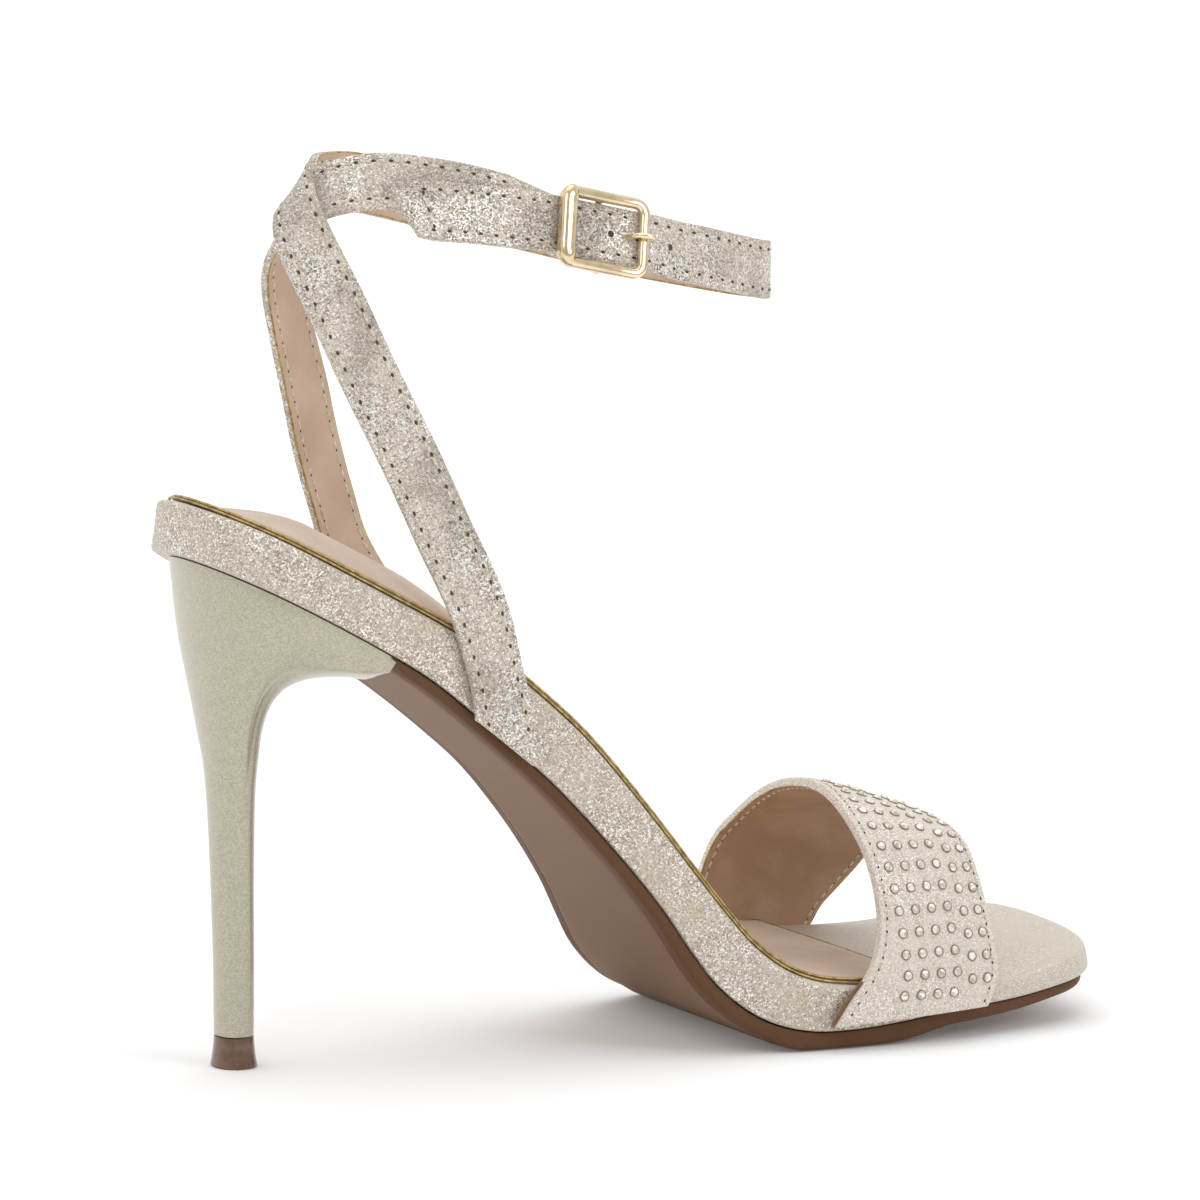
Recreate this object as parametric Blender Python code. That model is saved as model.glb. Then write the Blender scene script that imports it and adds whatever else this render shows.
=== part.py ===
"""Right shoe: a high-heeled ankle-strap sandal with a wide toe band.

+X runs to the toe, +Y to the wearer's left (the inner side of a right shoe), +Z up.
Every piece that follows the foot is laid out flat along the last's feather line and then
bent onto it. The shoe stands on its top lift and on the ball of its outsole.
"""
import math

import bmesh
import bpy
from mathutils import Matrix, Vector

# Driving dimensions, in metres
SHOE_LENGTH = 0.195
SEAT_HEIGHT = 0.1122
BALL_WIDTH = 0.0756
BOARD_THICKNESS = 0.010
OUTSOLE_THICKNESS = 0.0031
SOCK_THICKNESS = 0.0011
CUSHION_RISE = 0.0052
CUSHION_START = 0.008
CUSHION_LENGTH = 0.076
SOCK_END = 0.1495
HEEL_LIP_REACH = 0.0410
HEEL_HALF_WIDTH = 0.0236
LIFT_HEIGHT = 0.0060
LIFT_FLARE = 0.0007
BAND_HEIGHT = 0.0500
BAND_WALL = 0.0020
STRAP_WIDTH = 0.0116
STRAP_THICKNESS = 0.0018
STRAP_RISE = 0.1135
BUCKLE_LENGTH = 0.0190
BUCKLE_WIRE = 0.0017
BUCKLE_BARREL = 0.0032
PRONG_THICKNESS = 0.0012
GAP = 0.0003

END_TRIM = 0.0006
END_SPACING = 0.0028
SEAT_START = 0.0075
LIP_BOW = 0.08
SEAT_ROUND = 0.026
TOE_ROUND = 0.016
TOE_SKEW = 0.10

# The feather line, which is the board's top edge, from the seat's back to the toe.
# along: share of SHOE_LENGTH; height: share of SEAT_HEIGHT; board: share of BOARD_THICKNESS;
# outer, inner: half widths as shares of BALL_WIDTH; sole: share of OUTSOLE_THICKNESS
LAST = (
    # along, height, board, outer, inner, sole
    (-0.003, 1.002, 0.95, 0.331, 0.331, 0.70),
    (0.064, 0.943, 0.95, 0.331, 0.331, 0.70),
    (0.125, 0.887, 0.95, 0.331, 0.331, 0.70),
    (0.190, 0.827, 0.96, 0.329, 0.323, 0.70),
    (0.255, 0.765, 1.01, 0.321, 0.288, 0.70),
    (0.308, 0.706, 1.09, 0.307, 0.256, 0.70),
    (0.359, 0.637, 1.13, 0.299, 0.232, 0.70),
    (0.407, 0.559, 1.10, 0.310, 0.233, 0.70),
    (0.469, 0.424, 1.00, 0.354, 0.262, 0.73),
    (0.514, 0.314, 0.95, 0.397, 0.304, 0.78),
    (0.545, 0.242, 1.03, 0.423, 0.339, 0.84),
    (0.569, 0.192, 1.08, 0.444, 0.370, 0.92),
    (0.600, 0.149, 1.07, 0.466, 0.409, 0.98),
    (0.631, 0.126, 1.00, 0.484, 0.450, 1.03),
    (0.672, 0.115, 0.90, 0.495, 0.468, 1.05),
    (0.728, 0.108, 0.74, 0.500, 0.479, 1.05),
    (0.779, 0.103, 0.57, 0.499, 0.480, 1.00),
    (0.831, 0.099, 0.45, 0.492, 0.476, 0.95),
    (0.882, 0.103, 0.42, 0.475, 0.454, 0.85),
    (0.944, 0.121, 0.48, 0.442, 0.424, 0.72),
    (1.008, 0.143, 0.52, 0.410, 0.398, 0.65),
)

# The board's edge from its top face round to its bottom face.
# side, back, toe: how far in from the outline, in metres, at each part of it;
# depth: share of the board's thickness
BOARD_EDGE = (
    # side, back, toe, depth
    (0.0016, 0.0050, 0.0020, 0.00),
    (0.0005, 0.0030, 0.0008, 0.06),
    (0.0000, 0.0016, 0.0000, 0.22),
    (0.0002, 0.0046, 0.0008, 0.84),
    (0.0009, 0.0062, 0.0020, 1.00),
)

# Half outlines of the heel: each row is a flat section from a point on its back line to a
# point on its breast line. Lengths along are shares of HEEL_LIP_REACH, heights are shares of
# SEAT_HEIGHT, half widths are shares of HEEL_HALF_WIDTH. round_end and ridge are shares of the
# section: where its round back ends, and where the side turns into the nose. flat is 2 for a
# shallow nose and 1 for a round one.
HEEL = (
    # back, back_z, front, front_z, half, at_ridge, round_end, ridge, flat
    (0.078, 0.874, 0.971, 0.682, 0.995, 0.990, 0.50, 0.90, 1.9),
    (0.088, 0.849, 0.927, 0.669, 0.965, 0.960, 0.48, 0.82, 1.6),
    (0.098, 0.818, 0.841, 0.675, 0.905, 0.945, 0.46, 0.77, 1.3),
    (0.110, 0.780, 0.722, 0.677, 0.820, 0.810, 0.45, 0.70, 1.1),
    (0.124, 0.735, 0.629, 0.672, 0.715, 0.650, 0.45, 0.62, 1.0),
    (0.144, 0.686, 0.551, 0.659, 0.605, 0.520, 0.45, 0.60, 1.0),
    (0.166, 0.633, 0.493, 0.634, 0.495, 0.430, 0.45, 0.58, 1.0),
    (0.188, 0.579, 0.458, 0.596, 0.405, 0.365, 0.45, 0.57, 1.0),
    (0.210, 0.526, 0.444, 0.552, 0.330, 0.315, 0.45, 0.56, 1.0),
    (0.222, 0.463, 0.432, 0.488, 0.270, 0.265, 0.44, 0.56, 1.0),
    (0.234, 0.345, 0.430, 0.357, 0.222, 0.220, 0.43, 0.57, 1.0),
    (0.247, 0.180, 0.434, 0.183, 0.190, 0.190, 0.42, 0.58, 1.0),
)
HEEL_TIP = (0.251, 0.432, 0.182, 0.42, 0.58)  # back, front, half, round_end, ridge at the lift

# The toe band's two edges on its outer face, from the outer root over the toes to the inner root.
# Lengths along are shares of SHOE_LENGTH, across are shares of the band's half width, up are
# shares of BAND_HEIGHT.
BAND = (
    # back_x, back_y, back_z, front_x, front_y, front_z
    (0.643, -1.000, 0.105, 0.821, -0.995, 0.135),
    (0.660, -1.010, 0.205, 0.828, -1.000, 0.200),
    (0.677, -1.010, 0.290, 0.833, -0.990, 0.285),
    (0.691, -0.990, 0.385, 0.832, -0.955, 0.390),
    (0.698, -0.962, 0.500, 0.830, -0.910, 0.500),
    (0.699, -0.912, 0.635, 0.827, -0.848, 0.625),
    (0.697, -0.830, 0.765, 0.824, -0.765, 0.740),
    (0.694, -0.690, 0.882, 0.822, -0.645, 0.805),
    (0.699, -0.460, 0.958, 0.824, -0.440, 0.830),
    (0.707, -0.190, 0.983, 0.832, -0.210, 0.820),
    (0.713, 0.080, 0.964, 0.844, 0.030, 0.788),
    (0.718, 0.340, 0.918, 0.858, 0.270, 0.743),
    (0.719, 0.570, 0.842, 0.869, 0.490, 0.668),
    (0.715, 0.755, 0.742, 0.873, 0.670, 0.580),
    (0.708, 0.880, 0.650, 0.870, 0.795, 0.490),
    (0.700, 0.940, 0.540, 0.857, 0.880, 0.395),
    (0.693, 0.965, 0.430, 0.843, 0.935, 0.315),
    (0.682, 0.975, 0.300, 0.833, 0.960, 0.235),
    (0.668, 0.980, 0.200, 0.825, 0.965, 0.180),
    (0.655, 0.975, 0.105, 0.819, 0.960, 0.130),
)

# Centre lines of the ankle straps. x: share of SHOE_LENGTH; y: share of the outer strap's
# distance from the middle at its root; z: share of STRAP_RISE above the root;
# ax, ay, az: direction across the strap; wide: share of STRAP_WIDTH; layer: how many strap
# thicknesses the strap lies outside this line.
OUTER_STRAP = (
    # x, y, z, ax, ay, az, wide, layer
    (0.3123, -1.000, 0.000, 0.78, 0.03, -0.62, 1.22, 0.0),
    (0.3026, -1.002, 0.084, 0.95, 0.03, 0.30, 1.00, 0.0),
    (0.2821, -1.008, 0.209, 0.93, -0.05, 0.36, 1.00, 0.0),
    (0.2456, -0.968, 0.353, 0.914, -0.08, 0.406, 1.00, 0.0),
    (0.2118, -0.900, 0.485, 0.914, -0.08, 0.400, 1.00, 0.0),
    (0.1718, -0.765, 0.637, 0.925, -0.08, 0.380, 1.00, 0.0),
    (0.1446, -0.618, 0.757, 0.930, -0.05, 0.360, 1.00, 0.0),
    (0.1241, -0.494, 0.842, 0.88, 0.00, 0.48, 1.00, 0.0),
    (0.1179, -0.371, 0.892, 0.85, 0.05, 0.52, 1.00, 0.0),
    (0.1262, -0.191, 0.930, 0.74, 0.13, 0.66, 1.00, 0.0),
    (0.1477, 0.008, 0.950, 0.50, 0.20, 0.84, 1.00, 0.0),
    (0.1795, 0.199, 0.949, 0.20, 0.15, 0.97, 1.00, 0.0),
    (0.2205, 0.351, 0.945, 0.08, 0.12, 0.99, 1.00, 0.0),
    (0.2872, 0.454, 0.920, 0.10, 0.10, 0.99, 1.00, 0.0),
    (0.4103, 0.510, 0.872, 0.15, 0.05, 0.99, 1.00, 0.0),
    (0.5385, 0.478, 0.819, 0.15, 0.00, 0.99, 1.00, 0.0),
    (0.6050, 0.331, 0.796, 0.10, 0.00, 0.99, 1.00, 0.0),
    (0.6470, 0.127, 0.783, 0.03, 0.00, 1.00, 1.00, 0.0),
    (0.6630, -0.020, 0.780, 0.03, 0.05, 1.00, 1.00, 0.0),
    (0.6480, -0.147, 0.783, 0.05, 0.10, 0.99, 1.00, 0.0),
    (0.6110, -0.283, 0.796, 0.10, 0.16, 0.98, 1.00, 0.0),
    (0.5667, -0.430, 0.812, 0.14, 0.20, 0.96, 1.00, 0.0),
    (0.5267, -0.482, 0.825, 0.15, 0.24, 0.95, 1.00, 0.3),
    (0.4841, -0.510, 0.839, 0.15, 0.27, 0.95, 0.97, 0.6),
    (0.4333, -0.508, 0.858, 0.15, 0.28, 0.95, 0.97, 0.9),
    (0.3897, -0.508, 0.871, 0.15, 0.28, 0.95, 0.97, 1.2),
    (0.3451, -0.514, 0.883, 0.13, 0.28, 0.95, 1.00, 1.2),
    (0.2769, -0.526, 0.897, 0.10, 0.30, 0.95, 1.00, 1.2),
    (0.2159, -0.524, 0.904, -0.48, 0.30, 0.82, 1.08, 1.2),
)
INNER_STRAP = (
    # x, y, z, ax, ay, az, wide, layer
    (0.3143, 0.875, 0.000, 0.78, -0.14, -0.62, 1.22, 0.0),
    (0.3041, 0.888, 0.088, 0.93, -0.12, 0.32, 1.00, 0.0),
    (0.2800, 0.905, 0.203, 0.92, 0.10, 0.33, 1.00, 0.0),
    (0.2431, 0.916, 0.329, 0.90, 0.32, 0.28, 1.00, 0.0),
    (0.2118, 0.837, 0.471, 0.90, 0.32, 0.28, 1.00, 0.0),
    (0.1856, 0.657, 0.592, 0.89, 0.33, 0.30, 1.00, 0.0),
    (0.1682, 0.550, 0.670, 0.86, 0.38, 0.33, 1.00, 0.0),
    (0.1533, 0.422, 0.728, 0.80, 0.38, 0.42, 1.00, 0.0),
    (0.1395, 0.271, 0.784, 0.75, 0.30, 0.55, 1.00, 0.0),
    (0.1303, 0.104, 0.837, 0.72, 0.15, 0.66, 1.00, 0.0),
    (0.1267, -0.064, 0.879, 0.68, 0.25, 0.66, 1.00, 0.0),
    (0.1303, -0.231, 0.913, 0.50, 0.55, 0.62, 1.00, 0.0),
    (0.1446, -0.390, 0.939, 0.25, 0.62, 0.72, 1.00, 0.0),
    (0.1692, -0.478, 0.955, 0.08, 0.60, 0.78, 1.00, 0.0),
    (0.2051, -0.514, 0.957, 0.05, 0.50, 0.86, 1.00, 0.0),
    (0.2462, -0.522, 0.948, 0.08, 0.38, 0.92, 1.00, 0.0),
    (0.2923, -0.518, 0.933, 0.12, 0.30, 0.94, 1.00, 0.0),
    (0.3385, -0.510, 0.913, 0.15, 0.28, 0.95, 1.00, 0.0),
)
BUCKLE_PLACE = 0.4333  # of SHOE_LENGTH, on the near run of the outer strap

STATIONS = 46
COLUMNS = (-0.6, -0.25, 0.25, 0.6)
RIBBON_STEPS = 74
INNER_RIBBON_STEPS = 44
BAND_STEPS = 44


def clear_scene():
    for thing in list(bpy.data.objects):
        bpy.data.objects.remove(thing)


def spline(rows, steps):
    """Rows of numbers made into a smooth run of rows: Catmull-Rom with chord spacing."""
    size = len(rows)
    gaps = [math.dist(a[:3], b[:3]) ** 0.5 for a, b in zip(rows, rows[1:])]
    result = []
    total = sum(gaps)
    marks = [total * k / (steps - 1) for k in range(steps)]
    start, span = 0.0, 0
    for mark in marks:
        while span < size - 2 and mark > start + gaps[span]:
            start += gaps[span]
            span += 1
        t = min(1.0, (mark - start) / gaps[span])
        near, far = rows[span], rows[span + 1]
        before = rows[span - 1] if span > 0 else None
        after = rows[span + 2] if span + 2 < size else None
        gap = gaps[span]
        row = []
        for k in range(len(near)):
            slope = (far[k] - near[k]) / gap
            left = slope if before is None else (
                ((near[k] - before[k]) / gaps[span - 1] * gap + slope * gaps[span - 1])
                / (gap + gaps[span - 1]))
            right = slope if after is None else (
                ((after[k] - far[k]) / gaps[span + 1] * gap + slope * gaps[span + 1])
                / (gap + gaps[span + 1]))
            h00 = 2 * t ** 3 - 3 * t ** 2 + 1
            h10 = t ** 3 - 2 * t ** 2 + t
            h01 = 3 * t ** 2 - 2 * t ** 3
            h11 = t ** 3 - t ** 2
            row.append(h00 * near[k] + h10 * gap * left + h01 * far[k] + h11 * gap * right)
        result.append(row)
    return result


class Last:
    """The feather line as a bent ruler: lengths along it, and the widths it carries."""

    def __init__(self):
        rows = [(a * SHOE_LENGTH, h * SEAT_HEIGHT, 0.0, b * BOARD_THICKNESS, o * BALL_WIDTH,
                 i * BALL_WIDTH, s * OUTSOLE_THICKNESS) for a, h, b, o, i, s in LAST]
        self.rows = spline(rows, 600)
        self.marks = [0.0]
        for a, b in zip(self.rows, self.rows[1:]):
            self.marks.append(self.marks[-1] + math.dist(a[:2], b[:2]))
        self.length = self.marks[-1]

    def at(self, s):
        """The row at length s, run on straight past both ends."""
        marks = self.marks
        low, high = 0, len(marks) - 2
        while low < high:
            mid = (low + high + 1) // 2
            if marks[mid] <= s:
                low = mid
            else:
                high = mid - 1
        t = (s - marks[low]) / (marks[low + 1] - marks[low])
        line = [a + (b - a) * t for a, b in zip(self.rows[low], self.rows[low + 1])]
        if s < 0 or s > self.length:
            line[3:] = self.rows[0 if s < 0 else -1][3:]
        return line

    def mark_at(self, x):
        """The length along the feather line at which it passes x."""
        low, high = 0.0, self.length
        for _ in range(40):
            mid = (low + high) / 2
            if self.at(mid)[0] < x:
                low = mid
            else:
                high = mid
        return low

    def nearest(self, point):
        """The length along the feather line nearest a point, and the point's rise above it."""
        best = min(range(len(self.rows)), key=lambda k: (
            (self.rows[k][0] - point.x) ** 2 + (self.rows[k][1] - point.z) ** 2))
        s = self.marks[best]
        foot = self.place(s, 0, 0)
        up = self.place(s, 0, 0.001) - foot
        return s, Vector((point.x - foot.x, 0, point.z - foot.z)).dot(up) / 0.001

    def half_width(self, s, side):
        """Half width of the outline at s on one side: -1 outer, +1 inner, with round ends."""
        base = self.at(min(max(s, 0.0), self.length))[4 if side < 0 else 5]
        back = max(0.0, 1 - s / SEAT_ROUND)
        front = max(0.0, 1 - (self.length - s) / TOE_ROUND)
        round_back = max(0.0, 1 - back ** 2) ** 0.5
        round_front = max(0.0, 1 - front ** 2.4) ** (1 / 2.4)
        return base * round_back * round_front

    def place(self, s, y, rise):
        """A point rise above the feather line at s, y to the inner side."""
        step = 0.0015
        x0, z0 = self.at(s - step)[:2]
        x1, z1 = self.at(s + step)[:2]
        tangent = Vector((x1 - x0, 0, z1 - z0)).normalized()
        normal = Vector((-tangent.z, 0, tangent.x))
        x, z = self.at(s)[:2]
        forward = min(1.0, max(0.0, (s - 0.72 * self.length) / (0.28 * self.length)))
        return Vector((x + TOE_SKEW * y * forward ** 2, y, z)) + normal * rise


def finish(name, shape, colour, roughness, metallic, smooth=35):
    bmesh.ops.recalc_face_normals(shape, faces=shape.faces)
    mesh = bpy.data.meshes.new(name)
    shape.to_mesh(mesh)
    shape.free()
    mesh.shade_smooth()
    mesh.set_sharp_from_angle(angle=math.radians(smooth))
    material = bpy.data.materials.new(name)
    material.use_nodes = True
    shader = material.node_tree.nodes["Principled BSDF"]
    shader.inputs["Base Color"].default_value = (*colour, 1)
    shader.inputs["Roughness"].default_value = roughness
    shader.inputs["Metallic"].default_value = metallic
    mesh.materials.append(material)
    thing = bpy.data.objects.new(name, mesh)
    bpy.context.scene.collection.objects.link(thing)
    return thing


def loft(shape, rings):
    """Closed rings of points skinned one to the next, with a flat cap at each end."""
    made = [[shape.verts.new(point) for point in ring] for ring in rings]
    size = len(made[0])
    for near, far in zip(made, made[1:]):
        for k in range(size):
            shape.faces.new((near[k], near[(k + 1) % size], far[(k + 1) % size], far[k]))
    shape.faces.new(made[0])
    shape.faces.new(made[-1])


def outline(last, start, end, back_bow):
    """Plan points round a sole piece: up the outer side, round the toe end, back down the
    inner side and round the back end. start and end are lengths along the feather line.
    Pieces that lie on one another share their stations, so they keep an even gap."""
    marks = [start]
    for k in range(STATIONS):
        t = k / (STATIONS - 1)
        eased = 0.5 - 0.5 * math.cos(math.pi * t)
        mark = END_TRIM + (last.length - 1.5 * END_TRIM) * (0.55 * t + 0.45 * eased)
        if start + END_SPACING < mark < end - END_SPACING:
            marks.append(mark)
    marks.append(end)

    def side_point(s, side):
        return s, side * last.half_width(s, side)

    outer = [side_point(s, -1) for s in marks]
    inner = [side_point(s, 1) for s in marks]

    def across(a, b, bow):
        return [(a[0] + (b[0] - a[0]) * (c + 1) / 2 + bow * (1 - c * c),
                 a[1] + (b[1] - a[1]) * (c + 1) / 2) for c in COLUMNS]

    toe = across(outer[-1], inner[-1], 0.0004)
    back = across(outer[0], inner[0], back_bow)
    return outer, toe, inner, back, back_bow


def plate(last, plan, levels, top_rise, bottom_rise):
    """A slab over a plan. levels hold an inset rule and a rise rule for each loop of its edge."""
    outer, toe, inner, back, bow = plan
    loop = outer + toe + inner[::-1] + back[::-1]
    size = len(loop)
    count = len(outer)
    inward = []
    for k in range(size):
        a, b = loop[k - 1], loop[(k + 1) % size]
        run = Vector((b[0] - a[0], b[1] - a[1]))
        run.normalize()
        inward.append((-run.y, run.x))
    shape = bmesh.new()
    loops = []
    for inset_of, rise_of in levels:
        ring = []
        for (s, y), (ns, ny) in zip(loop, inward):
            inset = inset_of(ns)
            ring.append((s + ns * inset, y + ny * inset))
        loops.append((ring, [shape.verts.new(last.place(s, y, rise_of(s, y))) for s, y in ring]))
    for (_, near), (_, far) in zip(loops, loops[1:]):
        for k in range(size):
            shape.faces.new((near[k], near[(k + 1) % size], far[(k + 1) % size], far[k]))
    toes = len(toe)
    for (ring, made), rise in ((loops[0], top_rise), (loops[-1], bottom_rise)):
        rows = []
        for i in range(count):
            left, right = i, size - toes - 1 - i
            if i == 0:
                middle = [made[size - 1 - k] for k in range(toes)]
            elif i == count - 1:
                middle = [made[count + k] for k in range(toes)]
            else:
                middle = []
                for c in COLUMNS:
                    t = (c + 1) / 2
                    s = ring[left][0] + (ring[right][0] - ring[left][0]) * t
                    fade = max(0.0, 1 - (s - outer[0][0]) / (6 * abs(bow)))
                    s += bow * (1 - c * c) * fade * fade
                    y = ring[left][1] + (ring[right][1] - ring[left][1]) * t
                    middle.append(shape.verts.new(last.place(s, y, rise(s, c, y))))
            rows.append([made[left], *middle, made[right]])
        for near, far in zip(rows, rows[1:]):
            for a, b, c, d in zip(near, near[1:], far[1:], far):
                shape.faces.new((a, b, c, d))
    return shape


def smooth_step(value, low, high):
    t = min(1.0, max(0.0, (value - low) / (high - low)))
    return t * t * (3 - 2 * t)


def board(last):
    levels = []
    for side, back, toe, depth in BOARD_EDGE:
        def inset_of(ns, side=side, back=back, toe=toe):
            if ns > 0:
                return side + (back - side) * ns ** 1.5
            return side + (toe - side) * (-ns) ** 1.5
        levels.append((inset_of, lambda s, y, depth=depth: -depth * last.at(s)[3]))
    plan = outline(last, END_TRIM, last.length - END_TRIM / 2, -END_TRIM)
    return plate(last, plan, levels, lambda s, c, y: 0.0, lambda s, c, y: -last.at(s)[3])


def sock(last):
    end = last.mark_at(SOCK_END)
    board_inset, back_inset = 0.0018, 0.0046

    def cushion(s, across):
        over = (smooth_step(s, CUSHION_START, CUSHION_START + CUSHION_LENGTH / 4)
                * (1 - smooth_step(s, CUSHION_START + CUSHION_LENGTH / 2,
                                   CUSHION_START + CUSHION_LENGTH)))
        return SOCK_THICKNESS + CUSHION_RISE * over * max(0.0, 1 - abs(across) ** 2.6)

    def inset(base, back):
        return lambda ns: base + (back - base) * max(0.0, ns) ** 1.5

    foot = (inset(board_inset, back_inset), lambda s, y: GAP)
    edge = (inset(board_inset, back_inset), lambda s, y: GAP + 0.6 * SOCK_THICKNESS)
    shoulder = (inset(board_inset + 0.0009, back_inset + 0.0009),
                lambda s, y: GAP + SOCK_THICKNESS + 0.10 * (cushion(s, 0) - SOCK_THICKNESS))
    plan = outline(last, END_TRIM, end, -END_TRIM)
    return plate(last, plan, (shoulder, edge, foot),
                 lambda s, c, y: GAP + cushion(s, c), lambda s, c, y: GAP)


def outsole(last, lip_mark):
    def top(s):
        return -last.at(s)[3] - GAP

    def thick(s):
        """Thickness at s, drawn down to the floor where the tread stands on it."""
        base = last.at(s)[6]
        high = last.place(s, 0, top(s))
        to_floor = high.z / (high.z - last.place(s, 0, top(s) - 1).z)
        near = 1 - smooth_step(abs(to_floor - base), 0.0008, 0.0018)
        return base + (to_floor - base) * near

    rim = 0.0008

    def inset(base, toe):
        return lambda ns: base + ((rim if ns > 0 else toe) - base) * abs(ns) ** 1.5

    levels = (
        (inset(rim + 0.0004, 0.0026), lambda s, y: top(s)),
        (inset(rim, 0.0022), lambda s, y: top(s) - 0.15 * thick(s)),
        (inset(rim + 0.0003, 0.0024), lambda s, y: top(s) - 0.58 * thick(s)),
        (inset(rim + 0.0018, 0.0038), lambda s, y: top(s) - 0.88 * thick(s)),
        (inset(rim + 0.0046, 0.0066), lambda s, y: top(s) - thick(s)),
    )
    bow = LIP_BOW * (lip_mark - last.mark_at(SEAT_START))
    plan = outline(last, lip_mark + 1.5 * GAP - bow, last.length - END_TRIM / 2, bow)
    waist = last.mark_at(0.40 * SHOE_LENGTH)

    def belly(s, c, y):
        round_waist = 0.0004 * (1 - smooth_step(s, waist, waist + 0.035))
        return top(s) - thick(s) - round_waist * (1 - c * c)

    return plate(last, plan, levels, lambda s, c, y: top(s), belly)


def heel_section(back, front, half, at_ridge, round_end, ridge, flat):
    """Points round one heel section, as (share along, half width): back, outer side, nose."""
    turns, sides, nose = 7, 3, 7
    points = []
    for k in range(turns):
        a = math.pi / 2 * k / (turns - 1)
        points.append((round_end * (1 - math.cos(a)), half * math.sin(a)))
    for k in range(1, sides + 1):
        t = k / (sides + 1)
        points.append((round_end + (ridge - round_end) * t, half + (at_ridge - half) * t))
    for k in range(nose):
        a = math.pi / 2 * k / (nose - 1)
        points.append((ridge + (1 - ridge) * math.sin(a) ** flat, at_ridge * math.cos(a)))
    right = [(u, -w) for u, w in points]
    left = [(u, w) for u, w in points[1:-1]][::-1]
    return [back.lerp(front, u) + Vector((0, w, 0)) for u, w in right + left]


def heel(last, lip_start):
    rings = []
    seat_back = last.mark_at(SEAT_START)
    seat_front = lip_start
    top = heel_section(Vector((0, 0, 0)), Vector((1, 0, 0)), HEEL_HALF_WIDTH,
                       HEEL_HALF_WIDTH, 0.50, 1 - LIP_BOW, 2.0)
    rings.append([last.place(seat_back + (seat_front - seat_back) * p.x, p.y,
                             -last.at(seat_back + (seat_front - seat_back) * p.x)[3] - GAP)
                  for p in top])
    for row in HEEL:
        back, back_z, front, front_z, half, at_ridge, round_end, ridge, flat = row
        rings.append(heel_section(
            Vector((back * HEEL_LIP_REACH, 0, back_z * SEAT_HEIGHT)),
            Vector((front * HEEL_LIP_REACH, 0, front_z * SEAT_HEIGHT)),
            half * HEEL_HALF_WIDTH, at_ridge * HEEL_HALF_WIDTH, round_end, ridge, flat))
    rings.append(tip_section(LIFT_HEIGHT + GAP, 0.0))
    shape = bmesh.new()
    loft(shape, rings)
    return shape


def tip_section(height, grown):
    """The heel's smallest section, made larger all round by grown."""
    back, front, half, round_end, ridge = HEEL_TIP
    return heel_section(Vector((back * HEEL_LIP_REACH - grown, 0, height)),
                        Vector((front * HEEL_LIP_REACH + grown, 0, height)),
                        half * HEEL_HALF_WIDTH + grown, half * HEEL_HALF_WIDTH + grown,
                        round_end, ridge, 1.0)


def top_lift():
    rings = [tip_section(LIFT_HEIGHT, 0.0),
             tip_section(0.75 * LIFT_HEIGHT, 0.15 * LIFT_FLARE),
             tip_section(0.35 * LIFT_HEIGHT, 0.55 * LIFT_FLARE),
             tip_section(0.0004, LIFT_FLARE),
             tip_section(0.0, LIFT_FLARE - 0.0003)]
    shape = bmesh.new()
    loft(shape, rings)
    return shape


def toe_band():
    half = 0.5 * BALL_WIDTH + GAP + BAND_WALL
    rows = [(bx * SHOE_LENGTH, by * half, bz * BAND_HEIGHT,
             fx * SHOE_LENGTH, fy * half, fz * BAND_HEIGHT) for bx, by, bz, fx, fy, fz in BAND]
    steps = spline(rows, BAND_STEPS)
    shares = (0.0, 0.3, 0.7, 1.0)
    bulge = 0.0006
    lines = [[Vector(r[:3]).lerp(Vector(r[3:]), v) for v in shares] for r in steps]
    rings = []
    for k, line in enumerate(lines):
        before = lines[max(0, k - 1)]
        after = lines[min(len(lines) - 1, k + 1)]
        out, inside = [], []
        for j, point in enumerate(line):
            along = after[j] - before[j]
            over = line[min(j + 1, 3)] - line[max(j - 1, 0)]
            normal = over.cross(along)
            normal.normalize()
            crown = bulge * 4 * shares[j] * (1 - shares[j])
            out.append(point + normal * crown)
            inside.append(point + normal * (crown - BAND_WALL))
        rings.append(out + inside[::-1])
    shape = bmesh.new()
    loft(shape, rings)
    return shape


def strap_frames(rows, steps, root, side):
    """Centre, run, across and outward directions along a strap."""
    half = root_half()
    full = [(x * SHOE_LENGTH, y * half, root + z * STRAP_RISE, ax, ay, az, wide, layer)
            for x, y, z, ax, ay, az, wide, layer in rows]
    dense = spline(full, steps)
    frames = []
    for k, row in enumerate(dense):
        run = Vector(dense[min(k + 1, steps - 1)][:3]) - Vector(dense[max(k - 1, 0)][:3])
        run.normalize()
        across = Vector(row[3:6])
        across.normalize()
        out = run.cross(across) * side
        out.normalize()
        centre = Vector(row[:3]) + out * row[7] * STRAP_THICKNESS
        frames.append((centre, run, across, out, row[6] * STRAP_WIDTH))
    return frames


def kept_outside(last, frames, side):
    """The strap pushed out beside the board wherever it runs below the feather line."""
    result = []
    for centre, run, across, out, wide in frames:
        push = 0.0
        for share in (-0.5, -0.25, 0.0, 0.25, 0.5):
            point = centre + across * (share * wide) - out * (STRAP_THICKNESS / 2)
            s, rise = last.nearest(point)
            if rise > 0.012:
                continue
            room = last.half_width(s, side) + 1.5 * GAP - abs(point.y)
            push = max(push, room * (1 - smooth_step(rise, 0.0, 0.012)))
        result.append((centre + Vector((0, side * push, 0)), run, across, out, wide))
    return result


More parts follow.
